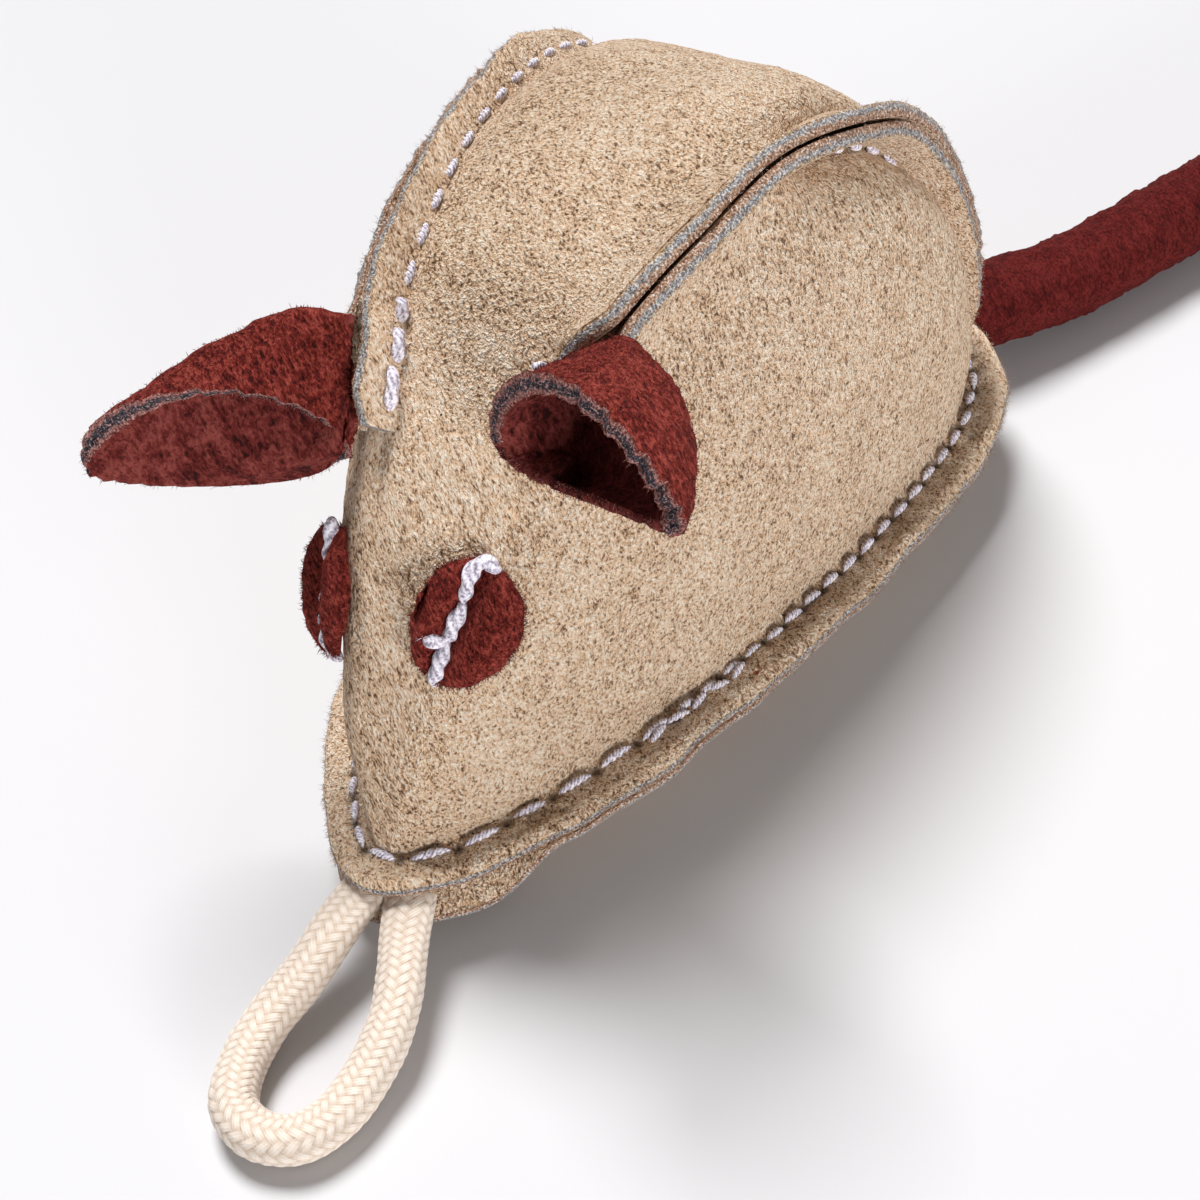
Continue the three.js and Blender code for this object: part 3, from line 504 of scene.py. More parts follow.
def body_point(t, angle, puffed=True):
    """Stuffed body: t runs from nose to rear and angle goes round the section. Width and height follow humps
    along the body, the section is a rounded dome over a shallow belly, and the panels swell between seams."""
    t, angle = np.broadcast_arrays(t, angle)
    c, s = np.cos(angle), np.sin(angle)
    over = s >= -1e-9
    wide = HALF_WIDTH * hump(t, 0.62, 0.14)
    tall = np.where(over, BACK_HEIGHT * hump(t, 0.669, 0.33), BELLY_DEPTH * (4 * t * (1 - t)) ** 0.45)
    y = wide * np.sign(c) * np.abs(c) ** 0.455
    z = tall * np.abs(s) ** 0.845
    ridge = ridge_angle(t)
    sewn = ease((t - RIDGE_START + 0.06) / 0.25)
    side = np.minimum(angle, np.pi - angle)
    u = np.clip(side / ridge, 0, 1)
    puff_side = SIDE_PUFF * mix(0.35, 1, sewn) * 4 * u * (1 - u) * ease(t / 0.3)
    w = np.clip((angle - ridge) / (np.pi - 2 * ridge), 0, 1)
    puff_back = BACK_PUFF * sewn * 4 * w * (1 - w)
    puff = np.where(side < ridge, puff_side, puff_back) * (over & puffed)
    reach = np.maximum(np.hypot(y, z), 1e-9)
    grow = 1 + puff * np.clip(reach / 12, 0, 1) / reach
    lean = np.where(over, FORWARD_LEAN * np.sin(np.pi * t) * s, 0)
    x = NOSE_X - BODY_LENGTH * t + lean
    return np.stack([x, y * grow, SEAM_HEIGHT + np.where(over, z, -z) * grow], -1)


outline_t = 1 - (1 - np.linspace(0, 1, 6001) ** 1.67) ** 6
outline = body_point(outline_t, 0.0, False)
outline_reach = np.concatenate([[0], np.cumsum(np.linalg.norm(np.diff(outline, axis=0), axis=1))])
HALF_SEAM = outline_reach[-1]
WHOLE_SEAM = 2 * HALF_SEAM


def seam_point(distance):
    """Point of the seam line at a distance along it from the nose, down the left side and back up the
    right."""
    d = np.mod(distance, WHOLE_SEAM)
    right = d > HALF_SEAM
    along = np.where(right, WHOLE_SEAM - d, d)
    x = np.interp(along, outline_reach, outline[:, 0])
    y = np.interp(along, outline_reach, outline[:, 1])
    return np.stack([x, np.where(right, -y, y), np.full_like(x, SEAM_HEIGHT)], -1)


def seam_normal(distance):
    """Direction straight out from the seam line, level with the floor."""
    run = seam_point(distance + 1.6) - seam_point(distance - 1.6)
    return unit(np.stack([run[..., 1], -run[..., 0], np.zeros_like(run[..., 0])], -1))


def from_nose(distance):
    """Shorter distance to the nose along the seam."""
    d = np.mod(distance, WHOLE_SEAM)
    return np.minimum(d, WHOLE_SEAM - d)


def flange_width(distance):
    """Width of the flange, with its hand-cut unevenness."""
    plain = mix(NOSE_FLANGE, FLANGE_WIDTH, ease((from_nose(distance) - 4) / 16))
    turn = 2 * np.pi * distance / WHOLE_SEAM
    cut = 0.12 * np.sin(9 * turn + 1.1) + 0.08 * np.sin(17 * turn + 0.4) + 0.06 * np.sin(41 * turn)
    return plain + cut


def flange_face(distance, out, upper):
    """Height of the inner face of a flange layer: the tail parts both layers and the loop pushes the lower
    one down."""
    from_tail = np.abs(np.mod(distance, WHOLE_SEAM) - (HALF_SEAM - TAIL_Y))
    push = TAIL_PARTING * (1 - ease((from_tail - 7) / 5))
    if not upper:
        push = push + NOSE_DROP * (1 - ease((from_nose(distance - LOOP_Y) - 7) / 9))
    away = SEAM_GAP / 2 + push * np.clip((out + 1.2) / (flange_width(distance) + 1.2), 0, 1.05)
    turn = 2 * np.pi * distance / WHOLE_SEAM
    wave = 0.35 * np.sin(13 * turn + 2) + 0.25 * np.sin(22 * turn)
    lift = np.clip(out / FLANGE_WIDTH, 0, 1) ** 1.5 * wave
    return SEAM_HEIGHT + lift + (away if upper else -away)


def flange_point(distance, out, z):
    """Point at a distance along the seam and out from it."""
    spot = seam_point(distance) + seam_normal(distance) * out[..., None]
    return np.concatenate([spot[..., :2], z[..., None]], -1)


def body_normal(t, angle):
    """Outward direction of the plain body."""
    step = 0.002
    along = body_point(np.minimum(t + step, 0.995), angle, False) - body_point(t - step, angle, False)
    around = body_point(t, angle + step, False) - body_point(t, angle - step, False)
    return unit(np.cross(along, around))


def ridge_frame(t):
    """Foot of the left fin on the body, the way up the fin, and the way to the side panel. The fin stands
    straight out of the body behind the ear and tilts over the side panel at the rear."""
    foot = body_point(t, ridge_angle(t), False)
    ahead = body_point(t - 0.004, ridge_angle(t - 0.004), False)
    back = np.minimum(t + 0.004, 0.9995)
    behind = body_point(back, ridge_angle(back), False)
    along = unit(ahead - behind)
    held = np.minimum(t, 0.94)
    rough = body_normal(held, ridge_angle(held))
    outward = unit(rough - along * np.sum(rough * along, -1, keepdims=True))
    sideward = unit(np.cross(along, outward))
    sideward = sideward * np.where(sideward[..., 1:2] < 0, -1, 1)
    tilt = np.radians(FIN_TILT) * ease((t - REAR_FROM) / 0.18)[..., None]
    tilted = outward * np.cos(tilt) + sideward * np.sin(tilt)
    return foot, tilted, sideward * np.cos(tilt) - outward * np.sin(tilt)


def ridge_half_gap(t, back):
    """Half the space between the two layers, wider round the ear's root."""
    return mix(RIDGE_OPENING, RIDGE_GAP, ease((t - back + 0.01) / 0.05)) / 2


def fin_rise(t, side_name, seed):
    """Height of a layer's cut top over the dart seam: lower at its front end and in its middle, and unevenly
    cut."""
    shift = np.random.default_rng(seed).uniform(0, 6.28, 2)
    front = mix(0.7, 1, ease((t - FIN_START[side_name]) / 0.03))
    plain = RIDGE_HEIGHT * front * mix(1, 0.88, ease((t - 0.45) / 0.2)) * mix(1, 1.15, ease((t - 0.7) / 0.1))
    return plain + 0.13 * np.sin(38 * t + shift[0]) + 0.08 * np.sin(93 * t + shift[1])


def fin_lean(t, side_name):
    """Sideways lean of a fin's top, the same for its two layers."""
    shift = 0.0 if side_name == "left" else 2.1
    return 0.25 * np.sin(14 * t + shift) + 0.1 * np.sin(35 * t + 2 * shift)


def grid_normal(grid):
    """Normals of a grid of points from the steps along its rows and columns."""
    return unit(np.cross(np.gradient(grid, axis=1), np.gradient(grid, axis=0)))


def nearest(points, centres):
    """Distance from each point to the nearest centre."""
    flat = points.reshape(-1, 3)
    best = np.full(len(flat), 1e9)
    for centre in centres:
        best = np.minimum(best, np.sum((flat - centre) ** 2, -1))
    return np.sqrt(best).reshape(points.shape[:-1])


def smooth_columns(grid, times, keep):
    """Softens folds across a grid: each point moves to the mean of its neighbours in the row, but the kept
    ends stay."""
    for _ in range(times):
        mean = 0.25 * grid[:, :-2] + 0.5 * grid[:, 1:-1] + 0.25 * grid[:, 2:]
        grid[:, keep:-keep] = mean[:, keep - 1:len(grid[0]) - keep - 1]
    return grid


# Suede of the body: a sandy nap with brown pits and a few stray coloured flecks.
tan = napped_suede(
    "tan napped suede", pit="#62402a", nap="#e8c19c", tip="#ffeed9",
    grain=0.34, clumped=0.22, relief_mm=1.8,
    flecks=[(0.0, "#6b4f2c"), (0.5, "#7a5c38"), (0.72, "#a2482f"),
            (0.82, "#4a4034"), (0.9, "#c27a3a"), (0.96, "#6f8a8a")],
)
# Its cut edge: brown at the flesh side, and a grey core nearer the napped side.
tan_edge = raw_edge("cut edge of tan suede", [
    (0.0, "#9a6a50"), (0.14, "#c59f85"), (0.4, "#c9a68c"),
    (0.52, "#a8a9ab"), (0.8, "#b3b3b5"), (0.95, "#cfb08a"),
], "#ebe4de")

SEAM_ROWS = 257
seam_rows = np.linspace(0, HALF_SEAM, SEAM_ROWS)
row_t = np.interp(seam_rows, outline_reach, outline_t)
row_ridge = ridge_angle(row_t)
SIDE_COLUMNS = 80
BACK_COLUMNS = 46
side_share = np.linspace(0, 1, SIDE_COLUMNS + 1)
back_share = np.linspace(0, 1, BACK_COLUMNS + 1)
left_angle = row_ridge[:, None] * side_share
back_angle = mix(row_ridge[:, None], np.pi - row_ridge[:, None], back_share)
right_angle = np.pi - left_angle[:, ::-1]
dome_angle = np.concatenate([left_angle, back_angle[:, 1:], right_angle[:, 1:]], 1)
dome = body_point(row_t[:, None], dome_angle)

FLANGE_COLUMNS = 16
flange_out = np.linspace(1, 0.0, FLANGE_COLUMNS)
EDGE_ROLL = 0.7
BASE_TRIM = 0.5
EDGE_SWELL = 0.16
HOLE_DEPTH = 0.55
HOLE_DENT = 0.75
# Size of the painted shade round each needle hole, in mm.
HOLE_SHADE_SIZE = 0.62


def flange_sheet(rows, shares, upper, thick):
    """A flange face as a grid: along the seam and out from it, at a share of its width."""
    distance = np.broadcast_to(rows[:, None], (len(rows), len(shares)))
    trim = 0.0 if upper else BASE_TRIM * ease((from_nose(distance) - 38) / 14)
    out = shares[None] * (flange_width(distance) - trim)
    rolled = EDGE_ROLL * np.clip((shares[None] - 0.72) / 0.28, 0, 1) ** 2 * np.sign(thick)
    return flange_point(distance, out, flange_face(distance, out, upper) + thick - rolled)


def flange_pair(shares, upper, thick):
    """The left and the right half of a flange face, both with their rows from nose to rear."""
    left = flange_sheet(seam_rows, shares, upper, thick)
    return left, flange_sheet(WHOLE_SEAM - seam_rows, shares[::-1], upper, thick)


left_top, right_top = flange_pair(flange_out, True, SUEDE)
level = mix(left_top[:, -1:, 2], right_top[:, :1, 2], 0.5)
dome[..., 2] = np.maximum(dome[..., 2] + SEAM_GAP / 2, level)
top = np.concatenate([left_top[:, :-1], dome, right_top[:, 1:]], 1)
top = smooth_columns(top, times=4, keep=6)

seam_walk = SEAM_START + np.linspace(0, WHOLE_SEAM, 4001)
seam_pitch = mix(NOSE_PITCH, STITCH_PITCH, ease((np.mod(seam_walk - 1, WHOLE_SEAM) - 32) / 6))
stitch_count = np.concatenate([[0], np.cumsum(np.diff(seam_walk) / seam_pitch[1:])])
seam_holes_at = np.interp(np.arange(int(stitch_count[-1]) + 1), stitch_count, seam_walk)
hole_out = np.full_like(seam_holes_at, STITCH_OFFSET)
seam_holes = flange_point(seam_holes_at, hole_out, flange_face(seam_holes_at, hole_out, True) + SUEDE)
hole_far = nearest(top, seam_holes)
top_normal = grid_normal(top)
facing = np.sum(top_normal * (top - np.array((0, 0, SEAM_HEIGHT))), -1, keepdims=True)
top_normal = top_normal * np.sign(facing)
inner = np.concatenate([np.zeros(1), np.ones(top.shape[1] - 2), np.zeros(1)])
row_number = np.arange(SEAM_ROWS)
ends = np.minimum(1, np.minimum(row_number, row_number[::-1]) / 6)
soft = 0.22 * ripple(top, 13.0, 21) + 0.07 * ripple(top, 2.1, 22, 40)
soft = soft * inner * ends[:, None]
trough = -HOLE_DEPTH * np.exp(-(hole_far / HOLE_DENT) ** 2)
top = top + top_normal * (soft + trough)[..., None]

fin_t = np.clip(row_t, 0.05, 0.99)
_, fin_outward, fin_sideward = ridge_frame(fin_t)
SIDES = {"left": np.array((1, 1, 1)), "right": np.array((1, -1, 1))}
FIN_SEEDS = {"left_inner": 50, "left_outer": 51, "right_inner": 52, "right_outer": 53}


def drawn_up(side_name, way):
    """How far the skin beside a fin is drawn up by the sewing, along the body: fully behind the ear, and no
    longer at the rear, where the fin stands in a plain crease. Also the height and the sideways place that
    it reaches, and the lean of the fin."""
    back = EAR_BACK[side_name]
    kind = side_name + ("_outer" if way > 0 else "_inner")
    share = SWEEP[kind] * ease((fin_t - FIN_START[side_name]) / 0.03) * (1 - ease((fin_t - 0.6) / 0.16))
    lift = fin_rise(fin_t, side_name, FIN_SEEDS[kind]) - 0.35
    beside = ridge_half_gap(fin_t, back)
    return share[:, None], lift[:, None], beside[:, None], fin_lean(fin_t, side_name)[:, None]


def swept(skin, side_name, way):
    """Skin of a panel, its columns running away from a fin's foot, drawn up beside the fin: the lift falls
    off over SWEEP_REACH and the push to the side over a shorter reach. At the rear the seam is pulled in as a
    valley, deeper and wider on the side panel than on the back."""
    share, lift, beside, lean = drawn_up(side_name, way)
    away = np.cumsum(np.linalg.norm(np.diff(skin, axis=1, prepend=skin[:, :1]), axis=-1), 1)
    up = share * lift * np.clip(1 - away / SWEEP_REACH, 0, 1) ** 2.3
    deep, wide = (VALLEY, VALLEY_WIDE) if way > 0 else (BACK_VALLEY, BACK_VALLEY_WIDE)
    valley = deep * ease((fin_t - REAR_FROM) / 0.13) * (1 - ease((fin_t - 0.88) / 0.08))
    up = up - valley[:, None] * np.clip(1 - away / wide, 0, 1) ** 1.5
    push = share * (way * (beside + SUEDE + 0.07) + lean * (lift / RIDGE_HEIGHT) ** 2)
    push = push * np.clip(1 - away / (0.6 * SWEEP_REACH), 0, 1) ** 1.5
    flip = SIDES[side_name]
    return skin + (up[..., None] * fin_outward[:, None] + push[..., None] * fin_sideward[:, None]) * flip


def tucked(crease, side_name, way):
    """Two columns that take the drawn-up skin down again inside its fin layer, out of sight."""
    share, lift, beside, _ = drawn_up(side_name, way)
    push = share * way * (beside + SUEDE / 2)
    up = share * np.concatenate([lift - 0.3, np.full_like(lift, -1.0)], 1)
    move = up[..., None] * fin_outward[:, None] + push[..., None] * fin_sideward[:, None]
    return crease + move * SIDES[side_name]


first_ridge = FLANGE_COLUMNS - 1 + SIDE_COLUMNS
second_ridge = first_ridge + BACK_COLUMNS
# A little painted shade on the flanges beside the base seam, away from the nose, kept in the pit value.
flange_painted_shade = 0.1 * (1 - ease((flange_out - 0.7) / 0.25)) * ease((flange_out + 0.02) / 0.12)
painted_flange_shade = np.concatenate([flange_painted_shade, np.zeros(top.shape[1] - FLANGE_COLUMNS)])
painted_flange_shade = painted_flange_shade + painted_flange_shade[::-1]
painted_flange_shade = painted_flange_shade * ease((seam_rows[:, None] - 22) / 22)
pit = np.maximum(np.exp(-(hole_far / HOLE_SHADE_SIZE) ** 2), painted_flange_shade)
gap_columns = np.zeros((len(top), 5))
pit = np.concatenate([
    pit[:, :first_ridge + 1], gap_columns,
    pit[:, first_ridge:second_ridge + 1], gap_columns, pit[:, second_ridge:],
], 1)
near_crease, far_crease = top[:, first_ridge:first_ridge + 1], top[:, second_ridge:second_ridge + 1]
near_fold = near_crease - fin_outward[:, None] * drawn_up("left", 1)[0][..., None]
far_fold = far_crease - (fin_outward * SIDES["right"])[:, None] * drawn_up("right", 1)[0][..., None]
near_side = swept(top[:, first_ridge::-1], "left", 1)[:, ::-1]
back_skin = swept(top[:, first_ridge:second_ridge + 1], "left", -1)
back_skin = swept(back_skin[:, ::-1], "right", -1)[:, ::-1]
far_side = swept(top[:, second_ridge:], "right", 1)
top = np.concatenate([
    near_side, tucked(near_crease, "left", 1), near_fold, tucked(near_crease, "left", -1)[:, ::-1],
    back_skin, tucked(far_crease, "right", -1), far_fold, tucked(far_crease, "right", 1)[:, ::-1], far_side,
], 1)

under_out = np.linspace(0, 1, 4)
left_under, right_under = flange_pair(under_out, True, 0.0)
shelf = mix(right_under[:, -1:], left_under[:, :1], np.linspace(0, 1, 7)[None, :, None])
edge_share = np.linspace(0, 1, 6)[None, :, None]


def cut_edge(low, high, out):
    """A cut edge between two lines, swollen a little in the middle of its thickness."""
    bulge = EDGE_SWELL * np.sin(np.pi * edge_share)
    return mix(low[:, None], high[:, None], edge_share) + out[:, None] * bulge


left_out = seam_normal(seam_rows)
right_out = seam_normal(WHOLE_SEAM - seam_rows)
left_edge = cut_edge(left_under[:, -1], top[:, 0], left_out)
right_edge = cut_edge(right_under[:, 0], top[:, -1], right_out)
edge_uv = np.stack(np.broadcast_arrays(seam_rows[:, None] * 0.01, edge_share[0, :, 0]), -1)


def scatter(grid, count, seed):
    """Points spread by chance over the faces of a grid, with the row and column of the face that each lies
    on."""
    chance = np.random.default_rng(seed)
    row = chance.integers(0, grid.shape[0] - 1, count)
    column = chance.integers(0, grid.shape[1] - 1, count)
    a, b = chance.uniform(size=(2, count, 1))
    near = mix(grid[row, column], grid[row, column + 1], b)
    far = mix(grid[row + 1, column], grid[row + 1, column + 1], b)
    return mix(near, far, a), row, column


def loose_fibres(roots, ways, length, seed, radius=0.022):
    """Fibre ends as thin three-sided spindles: each leaves its root about the given way and bends over by
    chance."""
    chance = np.random.default_rng(seed)
    count = len(roots)
    ways = unit(ways + chance.normal(0, 0.5, (count, 3)))
    bend = unit(chance.normal(size=(count, 3)))
    reach = length * chance.uniform(0.35, 1.0, (count, 1, 1)) ** 1.5
    share = np.array((-0.1, 0.3, 0.65, 1.0))[None, :, None]
    centre = roots[:, None] + reach * (share * ways[:, None] + 0.45 * share ** 2 * bend[:, None])
    side = unit(np.cross(ways, bend))
    turn = np.linspace(0, 2 * np.pi, 4)[:, None]
    ring = np.cos(turn) * side[:, None] + np.sin(turn) * np.cross(side, ways)[:, None]
    size = radius * np.array((0.0, 1.0, 0.75, 0.0))[:, None, None]
    return centre[:, :, None] + size * ring[:, None]


FUZZ_UV = (0, 0.26)
edge_fuzz = []
for edge, out, seed in ((left_edge, left_out, 301), (right_edge, right_out, 302)):
    roots, row, _ = scatter(edge, count=2200, seed=seed)
    fuzz = loose_fibres(roots, out[row] - (0, 0, 0.3), length=0.8, seed=seed)
    edge_fuzz.append((fuzz, FUZZ_UV, 1, 0))

upper = make_piece("upper_suede", edge_fuzz + [
    (top, (0, 0), 0, pit), (left_edge, edge_uv, 1, 0), (right_edge, edge_uv, 1, 0),
    (left_under, (0, 0), 0, 0), (right_under, (0, 0), 0, 0), (shelf, (0, 0), 0, 0),
], [tan, tan_edge])
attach(upper, "body")
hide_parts("upper_panel", "stuffing")

# Dart ridges
# The two dart seams are sewn with their allowances outward, so each stands up as a fin of two suede layers.
# The cut tops stay raw, and the front of each fin parts to hold the root of an ear.
FIN_END = 0.9965
FIN_DEPTH = 3.6
VALLEY_DEPTH = 2.0


def ridge_layer(side_name, way):
    """One layer of a fin: a section with a foot, two faces and a raw top, carried along the dart seam. The
    foot reaches deeper beside the outer valley, and less deep at the rear end."""
    kind = side_name + ("_outer" if way > 0 else "_inner")
    seed = FIN_SEEDS[kind]
    t = mix(FIN_START[side_name], FIN_END, 1 - (1 - np.linspace(0, 1, 170)) ** 1.7)
    foot, outward, sideward = ridge_frame(t)
    face = np.linspace(0, 1, 12)[:-1]
    crown = np.linspace(0, 1, 7)
    across = np.concatenate([np.zeros_like(face), crown, np.ones_like(face)])
    height = np.concatenate([face, np.ones_like(crown), face[::-1]])
    round_top = np.concatenate([np.zeros_like(face), 0.22 * np.sin(np.pi * crown), np.zeros_like(face)])
    depth = FIN_DEPTH * (1 - 0.8 * ease((t - 0.94) / 0.045))
    depth = depth + max(way, 0) * VALLEY_DEPTH * ease((t - 0.64) / 0.1) * (1 - ease((t - 0.89) / 0.07))
    up = mix(-depth[:, None], fin_rise(t, side_name, seed)[:, None], height) + round_top
    near = ridge_half_gap(t, EAR_BACK[side_name])[:, None]
    lean = fin_lean(t, side_name)[:, None] * np.clip(up / RIDGE_HEIGHT, 0, 1) ** 2
    aside = way * (near + SUEDE * across) + lean
    grid = foot[:, None] + aside[..., None] * sideward[:, None] + up[..., None] * outward[:, None]
    frayed = np.concatenate([np.zeros(10), np.ones(9), np.zeros(10)])
    ragged = 0.16 * ripple(grid, 1.5, seed + 9, 40) * frayed
    ragged = np.concatenate([ragged, ragged[:, :1]], 1)
    grid = np.concatenate([grid, grid[:, :1]], 1) + ragged[..., None] * outward[:, None]
    raw = np.concatenate([np.zeros(11), np.ones(6), np.zeros(12)])[None]
    uv = np.zeros(grid.shape[:2] + (2,))
    uv[..., 1] = np.concatenate([across, [0]])
    middle = grid[:, :-1].mean(1)
    front = mix(grid[0], middle[0], np.linspace(0, 1, 3)[:, None, None])
    rear = mix(grid[-1], middle[-1], np.linspace(0, 1, 3)[:, None, None])
    roots, row, _ = scatter(grid[:, 10:19], count=1200, seed=seed + 5)
    fuzz = loose_fibres(roots, outward[row], length=0.7, seed=seed + 6)
    flip = SIDES[side_name]
    return [(grid * flip, uv, raw, 0), (front * flip, (0, 0.5), 1, 0), (rear * flip, (0, 0.5), 1, 0),
            (fuzz * flip, FUZZ_UV, 1, 0)]


for side_name in SIDES:
    for way, way_name in ((1, "outer"), (-1, "inner")):
        fin = make_piece("ridge_" + side_name + "_" + way_name, ridge_layer(side_name, way), [tan, tan_edge])
        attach(fin, "body")

# Base
# A flat oval of the same suede under the body, bulged by the stuffing and pressed flat where it rests.
# Its flange lies under the upper's, and is pushed down at the nose where the loop comes out between them.
belly_angle = np.linspace(np.pi, 2 * np.pi, 61)
belly = body_point(row_t[:, None], belly_angle[None])
belly = belly[:, ::-1]
left_low, right_low = flange_pair(flange_out, False, -SUEDE)
low_level = mix(left_low[:, -1:, 2], right_low[:, :1, 2], 0.5)
belly[..., 2] = np.clip(belly[..., 2] - SEAM_GAP / 2, 0.0, low_level)
bottom = np.concatenate([left_low[:, :-1], belly, right_low[:, 1:]], 1)
bottom = smooth_columns(bottom, times=4, keep=6)
left_over, right_over = flange_pair(under_out, False, 0.0)
low_shelf = mix(right_over[:, -1:], left_over[:, :1], np.linspace(0, 1, 7)[None, :, None])
base = make_piece("base_suede", [
    (bottom, (0, 0), 0, 0),
    (cut_edge(bottom[:, 0], left_over[:, -1], left_out), edge_uv * (1, -1) + (0, 1), 1, 0),
    (cut_edge(bottom[:, -1], right_over[:, 0], right_out), edge_uv * (1, -1) + (0, 1), 1, 0),
    (left_over, (0, 0), 0, 0), (right_over, (0, 0), 0, 0), (low_shelf, (0, 0), 0, 0),
], [tan, tan_edge])
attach(base, "body")
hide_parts("base_panel")

# Sewing thread
# One heavy white thread, twisted from two plies, pulled tight so that each stitch dips into its needle holes.
# The base seam runs right round the flange, longer stitches at the nose, and doubles back where it ends.
THREAD_RADIUS = 0.44


def two_ply(radius, swell, share, theta, turns, groove):
    """Radius and texture place of a thread twisted from two plies, along its length and round its section."""
    twist = theta[None] - 2 * np.pi * turns * share[:, None]
    size = radius * swell[:, None] * (1 + groove * np.cos(2 * twist))
    return size, np.stack(np.broadcast_arrays(share[:, None] * turns, theta[None] / (2 * np.pi)), -1)


def twisted_stitches(starts, ends, outs, radius, rise, turns=2.5):
    """Stitches as spindles from hole to hole: the thread rises over the suede in a low arch, thins to a point
    in each hole, and has a two-lobed section that turns along it like twisted plies."""
    starts, ends, outs = np.broadcast_arrays(starts, ends, outs)
    share = np.linspace(0, 1, 21)
    run = ends - starts
    way = unit(run)
    out = unit(outs - way * np.sum(outs * way, -1, keepdims=True))
    side = np.cross(way, out)
    arch = np.sin(np.pi * share)
    lift = rise * arch ** 0.5 - 0.45 * (1 - arch) ** 3
    centre = starts[:, None] + run[:, None] * share[:, None] + out[:, None] * lift[:, None]
    swell = np.clip(arch, 0, 1) ** 0.55
    theta = np.linspace(0, 2 * np.pi, 13)
    size, uv = two_ply(radius, swell, share, theta, turns, groove=0.24)
    ring = np.cos(theta)[:, None] * side[:, None] + np.sin(theta)[:, None] * out[:, None]
    grid = centre[:, :, None] + size[None, :, :, None] * ring[:, None]
    return grid, uv, 0, 0


# Thread gives a slightly lilac white with a faint silky lustre.
# Painted grey shade lies in the fine grooves of its twist.
thread, thread_shader, thread_place = new_material("white twisted thread")
THREAD_HAIR = 0.3
THREAD_RELIEF = 0.12
thread_turn = add_node(thread, "ShaderNodeSeparateXYZ", {"Vector": thread_place["UV"]}).outputs
thread_slant = add_node(thread, "ShaderNodeMath", {
    "operation": "SUBTRACT", 0: thread_turn["Y"], 1: thread_turn["X"],
}).outputs[0]
thread_wave = add_node(thread, "ShaderNodeMath", {"operation": "MULTIPLY", 0: thread_slant, 1: 8 * np.pi})
thread_ply = add_node(thread, "ShaderNodeMath", {"operation": "SINE", 0: thread_wave.outputs[0]}).outputs[0]
thread_hair = add_node(thread, "ShaderNodeTexNoise", {
    "Vector": thread_place["Object"], "Scale": 1000 / THREAD_HAIR, "Detail": 2.0, "Roughness": 0.5,
}).outputs["Fac"]
thread_height = add_node(thread, "ShaderNodeMath", {
    "operation": "MULTIPLY_ADD", 0: thread_ply, 1: 0.12, 2: thread_hair,
}).outputs[0]
thread_stops = [(0.3, "#8d8494"), (0.66, "#f4f1f7"), (0.48, "#cfc8d6")]
thread_colour = add_node(thread, "ShaderNodeValToRGB", {"Fac": thread_height}, thread_stops).outputs["Color"]
thread_relief = add_node(thread, "ShaderNodeBump", {
    "Height": thread_height, "Strength": 0.5, "Distance": THREAD_RELIEF * MM,
}).outputs["Normal"]
fill_node(thread, thread_shader, {
    "Base Color": thread_colour, "Normal": thread_relief, "Roughness": 0.65, "Specular IOR Level": 0.3,
})


def hole_places(upper):
    """Needle holes along the base seam on the outside of one flange layer."""
    face = flange_face(seam_holes_at, hole_out, upper)
    return flange_point(seam_holes_at, hole_out, face + (SUEDE if upper else -SUEDE))


for thread_name, upper_side, node in (
    ("top", True, "seam_thread_top"), ("under", False, "seam_thread_under"),
):
    holes = hole_places(upper_side)
    chance = np.random.default_rng(71 + upper_side)
    slant = seam_normal(seam_holes_at) * chance.normal(0, 0.16, (len(holes), 1))
    first, second = holes[:-1] + slant[:-1], holes[1:] - slant[1:]
    up = np.array((0.0, 0.0, 1.0 if upper_side else -1.0))
    stitches = twisted_stitches(mix(first, second, 0.1), mix(first, second, 0.9), up, THREAD_RADIUS, rise=0.2)
    seam = make_piece("seam_stitches_" + thread_name, [stitches], [thread])
    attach(seam, "body")
    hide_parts(node)

tack_number = np.arange(6)
tack_at = SEAM_START - 12 + 3.1 * tack_number
tack_out = STITCH_OFFSET + 0.75 + 0.45 * np.cos(np.pi * tack_number)
tack_holes = flange_point(tack_at, tack_out, flange_face(tack_at, tack_out, True) + SUEDE)
tack_stitches = twisted_stitches(tack_holes[:-1], tack_holes[1:], np.array((0, 0, 1.0)), radius=0.4, rise=0.3)
tack = make_piece("seam_backtack_stitches", [tack_stitches], [thread])
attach(tack, "body")
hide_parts("seam_backtack")


def ridge_spots(t, side_name, way, up):
    """Points on the outer face of a fin layer, and the way out of that face."""
    foot, outward, sideward = ridge_frame(t)
    aside = way * (ridge_half_gap(t, EAR_BACK[side_name]) + SUEDE)
    spots = foot + sideward * np.asarray(aside)[..., None] + outward * np.asarray(up)[..., None]
    return spots * SIDES[side_name], sideward * way * SIDES[side_name]


RIDGE_STITCHES = {
    "left_outer": (0.8, 9), "left_inner": (0.84, 8), "right_outer": (0.66, 13), "right_inner": (0.42, 20),
}
for kind, (starts_at, count) in RIDGE_STITCHES.items():
    side_name, way = kind.split("_")[0], 1 if kind.endswith("outer") else -1
    hole_t = mix(starts_at, 0.985, 1 - (1 - np.linspace(0, 1, count)) ** 1.5)
    hole_up = mix(1.2, 0.7 if way < 0 else -0.4, ease((hole_t - 0.64) / 0.16))
    spots, face_out = ridge_spots(hole_t, side_name, way, hole_up)
    first, second = mix(spots[:-1], spots[1:], 0.16), mix(spots[:-1], spots[1:], 0.84)
    stitches = twisted_stitches(first, second, face_out[:-1], radius=0.42, rise=0.15)
    ridge_seam = make_piece("ridge_stitches_" + kind, [stitches], [thread])
    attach(ridge_seam, "body")
    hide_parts("ridge_thread_" + kind)

